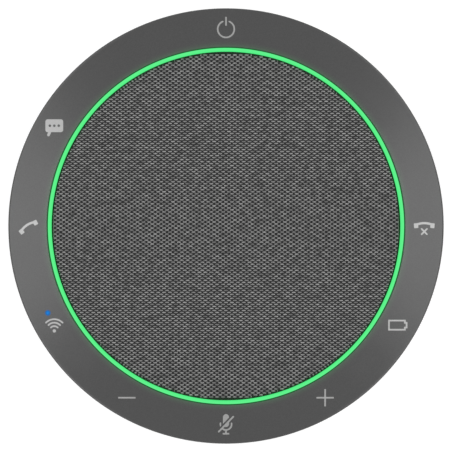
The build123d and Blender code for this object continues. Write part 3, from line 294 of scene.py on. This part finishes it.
# ---------------------------------------------------------------------------------------
# Chips, plugs and small parts. Black epoxy, white nylon, tinned steel and ceramic bodies
# are soldered to the boards. The flat cable is amber film, and the leads are enamelled
# copper like the voice coil, which is wound and glued on its former.
# ---------------------------------------------------------------------------------------
epoxy = moulded("black_epoxy", (0.018, 0.018, 0.019), 0.6,
                grain=0.2 * MM, depth=0.006 * MM, mottle=0.2)
paint(epoxy, "board_chips", "mic_capsules", "driver_terminal")
nylon = moulded("white_nylon", (0.72, 0.71, 0.66), 0.42,
                grain=0.5 * MM, depth=0.006 * MM, mottle=0.04)
paint(nylon, "ring_connector", "board_connectors")
paint(plated("tinned_steel", (0.62, 0.62, 0.60), 0.3), "shield_can", "tact_switches")
ceramic = moulded("white_ceramic", (0.75, 0.72, 0.62), 0.3,
                  grain=0.3 * MM, depth=0.003 * MM, mottle=0.05)
paint(ceramic, "ring_leds", "antenna")
film = moulded("amber_film", (0.30, 0.13, 0.02), 0.25,
               grain=0.8 * MM, depth=0.004 * MM, mottle=0.12)
paint(film, "ring_flex_cable")
copper = plated("enamelled_copper", (0.62, 0.27, 0.12), 0.28, brushing=(1, 1, 40))
paint(copper, "voice_coil", "speaker_leads", "battery_leads")

# ---------------------------------------------------------------------------------------
# Speaker. A plated steel cup and top plate round a nickel plated magnet, a coated paper
# cone with its dust cap, and a corrugated cloth spider in amber resin, all glued together.
# ---------------------------------------------------------------------------------------
SPIDER_THREADS_PER_METRE = 2600
SPIDER_WEAVE_DEPTH = 0.04 * MM

paint(plated("plated_motor_steel", (0.42, 0.42, 0.43), 0.36), "driver_yoke", "driver_top_plate")
paint(plated("nickel_magnet", (0.66, 0.64, 0.60), 0.2), "driver_magnet")
paper = moulded("coated_paper", (0.020, 0.020, 0.022), 0.7,
                grain=0.6 * MM, depth=0.03 * MM, mottle=0.3)
paint(paper, "cone", "dust_cap", "coil_former")

spider_cloth, spider_tree, spider_shader, spider_place = new_material("amber_spider_cloth")
weave = spider_tree.nodes.new("ShaderNodeTexChecker")
weave.inputs["Scale"].default_value = SPIDER_THREADS_PER_METRE
weave.inputs["Color1"].default_value = (0.42, 0.26, 0.09, 1)
weave.inputs["Color2"].default_value = (0.25, 0.15, 0.05, 1)
spider_tree.links.new(spider_place, weave.inputs["Vector"])
spider_tree.links.new(weave.outputs["Color"], spider_shader.inputs["Base Color"])
spider_shader.inputs["Roughness"].default_value = 0.75
bump(spider_tree, spider_shader, weave.outputs["Fac"], SPIDER_WEAVE_DEPTH)
paint(spider_cloth, "spider")

# ---------------------------------------------------------------------------------------
# Side shell. A bowl of dark grey moulded plastic with a fine matt tool texture. Screws
# from below, through the drum, hold it. A thin shadow gap parts it from the ring above.
# ---------------------------------------------------------------------------------------
shell_plastic = moulded("grey_shell_plastic", (0.045, 0.045, 0.046), 0.5,
                        grain=0.28 * MM, depth=0.012 * MM, mottle=0.10)
paint(shell_plastic, "side_shell")

# ---------------------------------------------------------------------------------------
# Keys. Nine translucent plungers under the ring's skin, each over its own switch, and the
# clear pin that lights the spot beside the wireless key.
# ---------------------------------------------------------------------------------------
key_plastic = moulded("milky_key_plastic", (0.62, 0.62, 0.60), 0.35,
                      grain=0.6 * MM, depth=0.004 * MM, mottle=0.04)
key_nodes = [name for name in nodes if name.startswith("key_")]
paint(key_plastic, *key_nodes)

clear_blue, blue_tree, blue_shader, blue_place = new_material("lit_blue_pin")
pin_frost = spread(blue_tree, noise(blue_tree, blue_place, 1 * MM), 0.9, 1.1)
blue_shader.inputs["Base Color"].default_value = (0.02, 0.16, 0.55, 1)
blue_shader.inputs["Emission Color"].default_value = (0.02, 0.22, 0.70, 1)
blue_shader.inputs["Emission Strength"].default_value = 1.0
blue_tree.links.new(pin_frost, blue_shader.inputs["Roughness"])
paint(clear_blue, "status_light_pipe")

# ---------------------------------------------------------------------------------------
# Light ring. A milky moulded guide that stands in a black tray round the grille, lit green
# by the lamps on the board below it. Its top edges are rounded, its face a little frosted.
# ---------------------------------------------------------------------------------------
LIGHT_WIDTH = 1.16 * MM
LIGHT_EDGE = 0.22 * MM
SHADED_EDGE = 0.10 * MM
SHADED_LIGHT = 0.12
RING_STEPS = 720
GREEN = (0.056, 0.775, 0.184)
GREEN_OUTER = (0.082, 0.795, 0.210)

guide_low, guide_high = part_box("light_guide_ring")
guide_points = np.array([v.co for v in nodes["light_guide_ring"].data.vertices])
radii = np.hypot(guide_points[:, 0], guide_points[:, 1])
heights = guide_points[:, 2]
guide_inner = float(radii.min())
guide_outer = guide_inner + LIGHT_WIDTH
guide_foot = float(radii.max())
foot_top = float(heights[radii > guide_foot - 0.1 * MM].max())

guide_outline = [(guide_inner, guide_low.z), (guide_foot, guide_low.z), (guide_foot, foot_top)]
guide_outline += [(guide_outer, foot_top)]
guide_outline += arc(guide_outer - LIGHT_EDGE, guide_high.z - LIGHT_EDGE, LIGHT_EDGE, 0, 90, 5)
guide_outline += [((guide_inner + guide_outer) / 2, guide_high.z)]
guide_outline += arc(guide_inner + LIGHT_EDGE, guide_high.z - LIGHT_EDGE, LIGHT_EDGE, 90, 180, 5)


def radial_place(tree, place, low, high):
    """0 at one radius from the Z axis and 1 at another."""
    flat = tree.nodes.new("ShaderNodeVectorMath")
    flat.operation = "MULTIPLY"
    flat.inputs[1].default_value = (1, 1, 0)
    tree.links.new(place, flat.inputs[0])
    length = tree.nodes.new("ShaderNodeVectorMath")
    length.operation = "LENGTH"
    tree.links.new(flat.outputs["Vector"], length.inputs[0])
    return spread(tree, length.outputs["Value"], 0, 1, low, high)


lit, lit_tree, lit_shader, lit_place = new_material("lit_green_guide")
across = radial_place(lit_tree, lit_place, guide_inner, guide_outer)
lit_colour = two_tone(lit_tree, across, GREEN, GREEN_OUTER, 0.25, 0.85)
lit_shader.inputs["Base Color"].default_value = (0.03, 0.10, 0.05, 1)
lit_shader.inputs["Specular IOR Level"].default_value = 0.2
shaded_side = radial_place(lit_tree, lit_place, guide_outer - SHADED_EDGE, guide_outer - 0.02 * MM)
brightness = spread(lit_tree, shaded_side, 1, SHADED_LIGHT, 0, 1)
lit_tree.links.new(brightness, lit_shader.inputs["Emission Strength"])
lit_tree.links.new(lit_colour, lit_shader.inputs["Emission Color"])
frost = noise(lit_tree, lit_place, 0.6 * MM)
lit_tree.links.new(spread(lit_tree, frost, 0.45, 0.6), lit_shader.inputs["Roughness"])
guide = lathed("light_ring_guide", guide_outline, lit, RING_STEPS)
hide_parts("light_guide_ring")

# ---------------------------------------------------------------------------------------
# Ring skin. One seamless dark grey soft-touch skin, moulded over the hard ring. It slopes
# outwards, rolls over a rounded edge and ends at the shadow gap. The keys and the blue
# light pin lie under it. A faint green glow beside the light ring is painted light, drawn on
# the skin as emission.
# ---------------------------------------------------------------------------------------
RING_SLOPE = math.radians(8.0)
SKIN_WALL = 0.8 * MM
EDGE_ROUND = 0.6 * MM
INNER_ROUND = 0.15 * MM
SKIN_GREY = (0.070, 0.070, 0.070)
BLUE = (0.002, 0.195, 0.650)
# Painted light: the colour of the green glow from the light ring, painted on the skin.
PAINTED_GREEN_SPILL = (0.004, 0.050, 0.012)
SPILL_WIDTH = 2.2 * MM
SPILL_FADE = 2.2
SPOT_RADIUS = 1.25 * MM
SPOT_CORE = 0.15 * MM
LOWER_RIM = 0.15 * MM

skin_low, skin_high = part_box("control_ring_skin")
skin_points = np.array([v.co for v in nodes["control_ring_skin"].data.vertices])
skin_outer = float(np.hypot(skin_points[:, 0], skin_points[:, 1]).max())
skin_inner = float(np.hypot(skin_points[:, 0], skin_points[:, 1]).min())


def skin_level(radius):
    """The height of the ring's slope at a radius."""
    return skin_high.z - (radius - skin_inner) * math.tan(RING_SLOPE)


def rolled_edge(inset, steps):
    """The rolled outer edge of the slope, drawn in by inset, from the slope to the side."""
    round_off = max(EDGE_ROUND - inset, 0.2 * MM)
    centre_r = skin_outer - inset - round_off
    centre_z = skin_level(centre_r) - (inset + round_off) / math.cos(RING_SLOPE)
    return arc(centre_r, centre_z, round_off, 90 - math.degrees(RING_SLOPE), 0, steps)


slope_start = skin_inner + INNER_ROUND
slope_end = skin_outer - EDGE_ROUND * (1 - math.sin(RING_SLOPE))
# Points close to both ends of the slope keep it flat beside the roundings.
slope_steps = [slope_start + 0.05 * MM]
slope_steps += list(np.linspace(slope_start, slope_end, 12)[1:-1])
slope_steps += [slope_end - 0.03 * MM]
inner_centre = skin_level(slope_start) - INNER_ROUND / math.cos(RING_SLOPE)
slope_turn = 90 - math.degrees(RING_SLOPE)
skin_outline = arc(slope_start, inner_centre, INNER_ROUND, 180, slope_turn, 5)
skin_outline += [(r, skin_level(r)) for r in slope_steps]
skin_outline += rolled_edge(0, 10)
skin_outline += [(skin_outer, skin_low.z + LOWER_RIM), (skin_outer - LOWER_RIM, skin_low.z)]
skin_outline += [(skin_outer - SKIN_WALL, skin_low.z)]
skin_outline += rolled_edge(SKIN_WALL, 4)[::-1]
skin_outline += [(skin_inner, skin_level(skin_inner) - SKIN_WALL / math.cos(RING_SLOPE))]


def tinted(tree, value, colour):
    """A colour scaled by a value."""
    node = tree.nodes.new("ShaderNodeVectorMath")
    node.operation = "SCALE"
    node.inputs[0].default_value = colour
    tree.links.new(value, node.inputs["Scale"])
    return node.outputs["Vector"]


def joined(tree, operation, first, second):
    """Two colours multiplied or added."""
    node = tree.nodes.new("ShaderNodeVectorMath")
    node.operation = operation
    tree.links.new(first, node.inputs[0])
    tree.links.new(second, node.inputs[1])
    return node.outputs["Vector"]


soft_touch, skin_tree, skin_shader, skin_place = new_material("soft_touch_skin")
speckle = noise(skin_tree, skin_place, 0.4 * MM, 2.0)
cloud = noise(skin_tree, skin_place, 9 * MM, 3.0)
skin_tone = two_tone(skin_tree, speckle, shade(SKIN_GREY, 0.92), shade(SKIN_GREY, 1.08))
skin_tree.links.new(spread(skin_tree, cloud, 0.14, 0.17), skin_shader.inputs["Roughness"])
bump(skin_tree, skin_shader, noise(skin_tree, skin_place, 0.22 * MM, 2.0), 0.003 * MM)

pin_low, pin_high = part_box("status_light_pipe")
pin_x, pin_y = (pin_low.x + pin_high.x) / 2, (pin_low.y + pin_high.y) / 2
beside = skin_tree.nodes.new("ShaderNodeVectorMath")
beside.operation = "DISTANCE"
beside.inputs[1].default_value = (pin_x, pin_y, skin_level(math.hypot(pin_x, pin_y)))
skin_tree.links.new(skin_place, beside.inputs[0])
spot = skin_tree.nodes.new("ShaderNodeMapRange")
spot.interpolation_type = "SMOOTHERSTEP"
spot.inputs["From Min"].default_value = SPOT_RADIUS
spot.inputs["From Max"].default_value = SPOT_CORE
skin_tree.links.new(beside.outputs["Value"], spot.inputs["Value"])
spot_light = spot.outputs["Result"]

skin_shader.inputs["Emission Strength"].default_value = 1.0
# Painted light: the green glow of the light ring falling on the skin is painted as emission, strongest
# at the inner edge and fading outwards.
from_guide = radial_place(skin_tree, skin_place, skin_inner, skin_inner + SPILL_WIDTH)
near_light = spread(skin_tree, from_guide, 1, 0, 0, 1)
fading = skin_tree.nodes.new("ShaderNodeMath")
fading.operation = "POWER"
fading.inputs[1].default_value = SPILL_FADE
skin_tree.links.new(near_light, fading.inputs[0])

# Over the pin the skin lets its light out and reflects less.
gloss = spread(skin_tree, spot_light, 0.5, 0.05, 0, 0.6)
skin_tree.links.new(gloss, skin_shader.inputs["Specular IOR Level"])
dimmed = tinted(skin_tree, spread(skin_tree, spot_light, 1, 0.1, 0, 0.6), (1, 1, 1))
skin_colour = joined(skin_tree, "MULTIPLY", skin_tone, dimmed)
skin_tree.links.new(skin_colour, skin_shader.inputs["Base Color"])
spot_glow = tinted(skin_tree, spot_light, BLUE)
painted_spill_glow = tinted(skin_tree, fading.outputs[0], PAINTED_GREEN_SPILL)
pin_glow_and_painted_spill = joined(skin_tree, "ADD", spot_glow, painted_spill_glow)
skin_tree.links.new(pin_glow_and_painted_spill, skin_shader.inputs["Emission Color"])

skin = lathed("control_ring_soft_skin", skin_outline, soft_touch, RING_STEPS)
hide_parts("control_ring_skin")

# ---------------------------------------------------------------------------------------
# Printed symbols. Nine light grey signs, one over each key and all upright, pad printed in
# a thick ink. Each is a thin raised film that follows the slope of the ring.
# ---------------------------------------------------------------------------------------
INK_LIFT = 0.02 * MM
INK_SINK = 0.03 * MM
INK_CELL = 0.06
STROKE = 0.25

ink, ink_tree, ink_shader, ink_place = new_material("light_grey_ink")
ink_grain = noise(ink_tree, ink_place, 0.3 * MM)
ink_tree.links.new(two_tone(ink_tree, ink_grain, (0.29, 0.29, 0.285), (0.33, 0.33, 0.325)),
                   ink_shader.inputs["Base Color"])
ink_tree.links.new(spread(ink_tree, ink_grain, 0.20, 0.26), ink_shader.inputs["Roughness"])
ink_shader.inputs["IOR"].default_value = 2.25
bump(ink_tree, ink_shader, ink_grain, 0.004 * MM)


# A sign is drawn as distances in millimetres: below zero inside the ink, above outside.
def bar(x, y, ax, ay, bx, by, half):
    """A straight stroke with round ends, half as wide as half says on each side."""
    length = (bx - ax) ** 2 + (by - ay) ** 2
    along = np.clip(((x - ax) * (bx - ax) + (y - ay) * (by - ay)) / length, 0, 1)
    return np.hypot(x - ax - along * (bx - ax), y - ay - along * (by - ay)) - half


def hoop(x, y, cx, cy, radius, half, start=0, end=360):
    """A stroke along a circle, from one angle to another."""
    across = np.abs(np.hypot(x - cx, y - cy) - radius) - half
    turn = (np.degrees(np.arctan2(y - cy, x - cx)) - start) % 360
    outside = turn > (end - start)
    ends = []
    for angle in (start, end):
        end_x = cx + radius * math.cos(math.radians(angle))
        end_y = cy + radius * math.sin(math.radians(angle))
        ends.append(np.hypot(x - end_x, y - end_y))
    return np.where(outside & (end - start < 360), np.minimum(*ends) - half, across)


def panel(x, y, cx, cy, half_x, half_y, corner=0.0):
    """A filled rectangle, with rounded corners if asked."""
    dx, dy = np.abs(x - cx) - half_x + corner, np.abs(y - cy) - half_y + corner
    return np.hypot(np.maximum(dx, 0), np.maximum(dy, 0)) + np.minimum(np.maximum(dx, dy), 0) - corner


def tilted(x, y, degrees):
    """The same place seen from a turned sign."""
    t = math.radians(degrees)
    return x * math.cos(t) + y * math.sin(t), y * math.cos(t) - x * math.sin(t)


def merged(*fields):
    """Several drawings in one."""
    return np.minimum.reduce(fields)


def handset(x, y):
    """A telephone handset: an arched handle that widens into two square ends."""
    handle = hoop(x, y, 0, -5.7, 6.05, 0.35, 66, 114)
    left = panel(*tilted(x + 2.5, y + 0.42, 6), 0, 0, 0.64, 0.74, 0.2)
    right = panel(*tilted(x - 2.5, y + 0.42, -6), 0, 0, 0.64, 0.74, 0.2)
    return merged(handle, left, right)


def power(x, y):
    """A broken ring with a stroke in its gap."""
    ring = hoop(x, y, 0, -0.43, 2.52, STROKE, 114, 426)
    return merged(ring, bar(x, y, 0, 0.82, 0, 3.12, STROKE))


def meeting(x, y):
    """A speech bubble with three dots."""
    bubble = panel(x, y, 0, 0.35, 2.7, 1.95, 0.7)
    tail = np.maximum(bar(x, y, -1.2, -1.2, -1.75, -2.45, 0.42), -y - 3)
    holes = merged(*[np.hypot(x - dot, y - 0.35) - 0.4 for dot in (-1.35, 0, 1.35)])
    return np.maximum(merged(bubble, tail), -holes)


def answer(x, y):
    """A handset that is picked up."""
    return handset(*tilted(x, y, 33))


def wireless(x, y):
    """A dot with three waves above it."""
    dot = np.hypot(x, y + 1.75) - 0.5
    waves = [hoop(x, y, 0, -1.75, r, STROKE, 45, 135) for r in (1.45, 2.5, 3.55)]
    return merged(dot, *waves)


def volume_down(x, y):
    """A minus."""
    return panel(x, y, 0, 0, 2.64, STROKE)


def mute(x, y):
    """A microphone on its stand with a stroke through it."""
    y = y + 0.25
    capsule = bar(x, y, 0, 0.35, 0, 2.42, 0.93)
    cradle = hoop(x, y, 0, 0.22, 1.69, STROKE, 180, 360)
    arms = merged(bar(x, y, -1.69, 0.22, -1.69, 0.55, STROKE), bar(x, y, 1.69, 0.22, 1.69, 0.55, STROKE))
    stand = merged(bar(x, y, 0, -1.5, 0, -2.6, STROKE), panel(x, y, 0, -2.62, 0.98, STROKE))
    slash = bar(x, y, -2.2, -2.0, 2.2, 2.55, STROKE)
    gap = bar(x, y, -2.56, -1.65, 1.84, 2.90, STROKE)
    return merged(np.maximum(merged(capsule, cradle, arms, stand), -gap), slash)


def volume_up(x, y):
    """A plus."""
    return merged(panel(x, y, 0, 0, 2.64, STROKE), panel(x, y, 0, 0, STROKE, 2.64))


def battery(x, y):
    """The outline of a battery with its pole on the right."""
    case = merged(panel(x, y, -0.24, 0, 2.67, 1.64), panel(x, y, 2.3, 0, 0.65, 0.97))
    inside = merged(panel(x, y, -0.24, 0, 2.17, 1.14), panel(x, y, 1.95, 0, 0.5, 0.47))
    return np.maximum(case, -inside)


def end_call(x, y):
    """A handset laid down, with a cross under it."""
    cross = merged(bar(x, y, -0.8, -2.5, 0.8, -0.9, STROKE), bar(x, y, -0.8, -0.9, 0.8, -2.5, STROKE))
    return merged(handset(x, y - 0.52), cross)


def printed(name, sign, angle, circle, half=3.6):
    """The film of ink for one sign: its drawing is cut along its outline into small faces."""
    count = int(2 * half / INK_CELL) + 1
    grid = np.linspace(-half, half, count)
    x, y = np.meshgrid(grid, grid, indexing="ij")
    field = sign(x, y)
    corners, flat, faces = {}, [], []

    def point(key, px, py):
        """The number of the point with this key, made when it is first asked for."""
        if key not in corners:
            corners[key] = len(flat)
            flat.append((px, py))
        return corners[key]

    inside = field < 0
    busy = inside[:-1, :-1] | inside[1:, :-1] | inside[1:, 1:] | inside[:-1, 1:]
    for i, j in zip(*np.nonzero(busy)):
        loop = [(i, j), (i + 1, j), (i + 1, j + 1), (i, j + 1)]
        face = []
        for k, here in enumerate(loop):
            there = loop[(k + 1) % 4]
            if inside[here]:
                face.append(point(here, grid[here[0]], grid[here[1]]))
            if inside[here] != inside[there]:
                low, high = sorted((here, there))
                share = field[low] / (field[low] - field[high])
                px = grid[low[0]] + share * (grid[high[0]] - grid[low[0]])
                py = grid[low[1]] + share * (grid[high[1]] - grid[low[1]])
                face.append(point((low, high), px, py))
        if len(face) > 2:
            faces.append(face)
    edges = {}
    for face in faces:
        for k, here in enumerate(face):
            edges[(here, face[(k + 1) % len(face)])] = True
    rim = [edge for edge in edges if (edge[1], edge[0]) not in edges]
    centre_x = circle * math.cos(math.radians(angle))
    centre_y = circle * math.sin(math.radians(angle))
    top, bottom = [], []
    for px, py in flat:
        gx, gy = centre_x + px * MM, centre_y + py * MM
        level = skin_level(math.hypot(gx, gy))
        top.append((gx, gy, level + INK_LIFT))
        bottom.append((gx, gy, level - INK_SINK))
    shift = len(top)
    faces += [[k + shift for k in reversed(face)] for face in faces]
    faces += [[b, a, a + shift, b + shift] for a, b in rim]
    piece = solid_from(name, top + bottom, faces, ink, smooth=False)
    return piece


key_low, key_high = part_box("key_end_call")
key_circle = (key_low.x + key_high.x) / 2
SIGNS = {
    "power": (power, 90),
    "meeting": (meeting, 150),
    "answer": (answer, 180),
    "wireless": (wireless, 210),
    "volume_down": (volume_down, 240),
    "mute": (mute, 270),
    "volume_up": (volume_up, 300),
    "battery": (battery, 330),
    "end_call": (end_call, 0),
}
for sign_name, (sign, sign_angle) in SIGNS.items():
    printed("symbol_" + sign_name, sign, sign_angle, key_circle)

# ---------------------------------------------------------------------------------------
# Grille cloth. A dark scrim pulled over the grille plate and glued round its edge, and on
# it a coarse two-yarn weave: thick light grey yarns across, dark ones over and under them.
# ---------------------------------------------------------------------------------------
WARP_PITCH = 0.8965 * MM
WEFT_PITCH = 0.6115 * MM
WEFT_HALF = 0.225 * MM
WARP_HALF = 0.32 * MM
YARN_RISE = 0.10 * MM
YARN_FLAT = 0.13 * MM
CLOTH_EDGE = 0.35 * MM
SCRIM_WALL = 0.15 * MM
SCRIM_SIDE = 0.05 * MM
SCRIM_HEM = 0.2 * MM
YARN_END = 0.03 * MM
MIDDLE = 0.0005 * MM

cloth_low, cloth_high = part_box("grille_fabric")
cloth_radius = cloth_high.x
scrim_top = cloth_high.z - 2 * YARN_RISE - YARN_FLAT


def cloth_drop(radius):
    """How far the cloth has rolled down round the plate's edge at a radius."""
    past = np.clip(radius - (cloth_radius - CLOTH_EDGE), 0, CLOTH_EDGE * 0.98)
    return CLOTH_EDGE - np.sqrt(CLOTH_EDGE**2 - past**2)


def yarn_wave(along, pitch, phase):
    """The rise and dip of a yarn over and under the ones that cross it."""
    return YARN_RISE * np.cos(np.pi * along / pitch + np.pi * phase)


def woven(name, across_pitch, along_pitch, half_width, rows, steps, material, flip, pinch):
    """Half-round yarns side by side, each waved along its length and trimmed to the disc."""
    points, faces = [], []
    sides = np.radians(np.array([4.0, 62.0, 118.0, 176.0]))
    for row in rows:
        offset = row * across_pitch
        reach = (cloth_radius - YARN_END) ** 2 - offset**2
        if reach <= 0:
            continue
        reach = math.sqrt(reach)
        count = max(int(round(2 * reach / (along_pitch / steps))), 2)
        along = np.linspace(-reach, reach, count + 1)
        rise = yarn_wave(along, along_pitch, row % 2 + flip)
        width = half_width * (1 - pinch * (0.5 - 0.5 * rise / YARN_RISE))
        side = offset + np.outer(width, np.cos(sides))
        height = rise[:, None] + YARN_FLAT * np.sin(sides)[None, :]
        far = np.broadcast_to(along[:, None], side.shape)
        level = scrim_top + YARN_RISE + height - cloth_drop(np.hypot(side, far))
        base = len(points)
        block = np.stack([side, far, level] if flip else [far, side, level], axis=-1)
        points.extend(block.reshape(-1, 3))
        wide = len(sides)
        for step in range(count):
            for k in range(wide - 1):
                a = base + step * wide + k
                quad = (a, a + wide, a + wide + 1, a + 1)
                faces.append(quad[::-1] if flip == 0 else quad)
    piece = solid_from(name, points, faces, material)
    return piece


FIBRE_SIZE = 0.09 * MM
FIBRE_DEPTH = 0.02 * MM
MELANGE_SIZE = 1.1 * MM


def yarn(name, dark, light, along, roughness=0.8):
    """Spun yarn: fine fibres along it, and a melange of darker and lighter stretches."""
    material, tree, shader, place = new_material(name)
    fibres = noise(tree, place, FIBRE_SIZE, 3.0, (0.25, 1, 1) if along == "x" else (1, 0.25, 1))
    melange = noise(tree, place, MELANGE_SIZE, 2.0, (0.6, 1, 1) if along == "x" else (1, 0.6, 1))
    mixed = tree.nodes.new("ShaderNodeMath")
    mixed.operation = "ADD"
    tree.links.new(spread(tree, fibres, 0, 0.45), mixed.inputs[0])
    tree.links.new(spread(tree, melange, 0, 0.55), mixed.inputs[1])
    tone = two_tone(tree, mixed.outputs[0], dark, light, 0.15, 0.85)
    tree.links.new(tone, shader.inputs["Base Color"])
    tree.links.new(spread(tree, fibres, roughness - 0.08, roughness + 0.08), shader.inputs["Roughness"])
    shader.inputs["Sheen Weight"].default_value = 0.05
    shader.inputs["Sheen Roughness"].default_value = 0.5
    bump(tree, shader, fibres, FIBRE_DEPTH)
    return material


light_yarn = yarn("light_grey_yarn", (0.095, 0.095, 0.093), (0.37, 0.37, 0.365), "x")
dark_yarn = yarn("dark_grey_yarn", (0.004, 0.004, 0.005), (0.011, 0.011, 0.012), "y")
scrim_cloth = yarn("black_scrim", (0.005, 0.005, 0.005), (0.010, 0.010, 0.010), "x", 0.9)

scrim_edge = cloth_radius - SCRIM_SIDE
scrim_under = scrim_top - SCRIM_WALL
scrim_outline = [(MIDDLE, scrim_top), (MIDDLE, scrim_under)]
scrim_outline += [(r, scrim_under) for r in np.linspace(5 * MM, cloth_radius - CLOTH_EDGE, 12)]
scrim_outline += [(cloth_radius - SCRIM_HEM, cloth_low.z), (scrim_edge, cloth_low.z)]
scrim_outline += arc(scrim_edge - CLOTH_EDGE, scrim_top - CLOTH_EDGE, CLOTH_EDGE, 0, 88, 6)
scrim_outline += [(r, scrim_top) for r in np.linspace(cloth_radius - 2 * MM, 5 * MM, 12)]
scrim = lathed("grille_scrim", scrim_outline, scrim_cloth, 360)
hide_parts("grille_fabric")

weft_rows = int(cloth_radius / WEFT_PITCH)
warp_rows = int(cloth_radius / WARP_PITCH)
even_rows = [row for row in range(-weft_rows, weft_rows + 1) if row % 2 == 0]
odd_rows = [row for row in range(-weft_rows, weft_rows + 1) if row % 2]
columns = range(-warp_rows, warp_rows + 1)
weft_even = woven("weft_yarns_even", WEFT_PITCH, WARP_PITCH, WEFT_HALF, even_rows,
                  steps=4, material=light_yarn, flip=0, pinch=0.35)
weft_odd = woven("weft_yarns_odd", WEFT_PITCH, WARP_PITCH, WEFT_HALF, odd_rows,
                 steps=4, material=light_yarn, flip=0, pinch=0.35)
warp = woven("warp_yarns", WARP_PITCH, WEFT_PITCH, WARP_HALF, columns,
             steps=2, material=dark_yarn, flip=1, pinch=0.2)

# ---------------------------------------------------------------------------------------
# Studio. A plain pale table, a soft even sky and two long soft boxes, left and right, that
# brighten the two sides of the sloped ring.
# ---------------------------------------------------------------------------------------
FLOOR_RADIUS = 6.0
FLOOR_SIDES = 96
SKY_STRENGTH = 0.42

floor_material, floor_tree, floor_shader, floor_place = new_material("pale_table")
table_grain = noise(floor_tree, floor_place, 20 * MM)
floor_tree.links.new(two_tone(floor_tree, table_grain, (0.60, 0.60, 0.60), (0.61, 0.61, 0.61)),
                     floor_shader.inputs["Base Color"])
floor_shader.inputs["Roughness"].default_value = 0.9
floor_shader.inputs["Specular IOR Level"].default_value = 0.1
floor_shader.inputs["Emission Color"].default_value = (1, 1, 1, 1)
floor_shader.inputs["Emission Strength"].default_value = 0.68
floor_data = bpy.data.meshes.new("table_top")
rim_points = [(FLOOR_RADIUS * math.cos(a), FLOOR_RADIUS * math.sin(a), cad_low.z)
              for a in np.linspace(0, 2 * math.pi, FLOOR_SIDES, endpoint=False)]
floor_data.from_pydata(rim_points, [], [list(range(FLOOR_SIDES))])
floor_data.materials.append(floor_material)
floor = bpy.data.objects.new("table_top", floor_data)
bpy.context.scene.collection.objects.link(floor)

world = bpy.data.worlds.new("soft_sky")
bpy.context.scene.world = world
world.use_nodes = True
sky = world.node_tree.nodes["Background"]
sky.inputs["Color"].default_value = (1, 1, 1, 1)
sky.inputs["Strength"].default_value = SKY_STRENGTH


BOX_REACH = 1.6
BOX_TILT = math.radians(27.5)
BOX_WIDTH = 0.62
BOX_LENGTH = 2.2
BOX_WATTS = 10.8


def soft_box(name, side):
    """A large soft light that faces the object from the left (-1) or the right (1)."""
    light = bpy.data.lights.new(name, "AREA")
    light.shape = "RECTANGLE"
    light.size = BOX_WIDTH
    light.size_y = BOX_LENGTH
    light.energy = BOX_WATTS
    lamp = bpy.data.objects.new(name, light)
    lamp.location = (side * BOX_REACH * math.sin(BOX_TILT), 0, BOX_REACH * math.cos(BOX_TILT))
    lamp.rotation_euler = (0, side * BOX_TILT, 0)
    lamp.visible_camera = False
    bpy.context.scene.collection.objects.link(lamp)


soft_box("soft_box_left", -1)
soft_box("soft_box_right", 1)

# The camera looks straight down from far away. Its view is a little wider than the object.
VIEW_SHARE = 1.038364
FOCUS_LEVEL = 28 * MM
camera_data = bpy.data.cameras.new("overhead")
camera_data.lens = 1200
camera_data.sensor_width = 36
camera_data.clip_end = 50
camera = bpy.data.objects.new("overhead", camera_data)
view_width = (cad_high.x - cad_low.x) * VIEW_SHARE
distance = view_width * camera_data.lens / camera_data.sensor_width
camera.location = (0, 0, FOCUS_LEVEL + distance)
bpy.context.scene.collection.objects.link(camera)
bpy.context.scene.camera = camera
bpy.context.scene.view_settings.view_transform = "Standard"
bpy.context.scene.view_settings.look = "None"
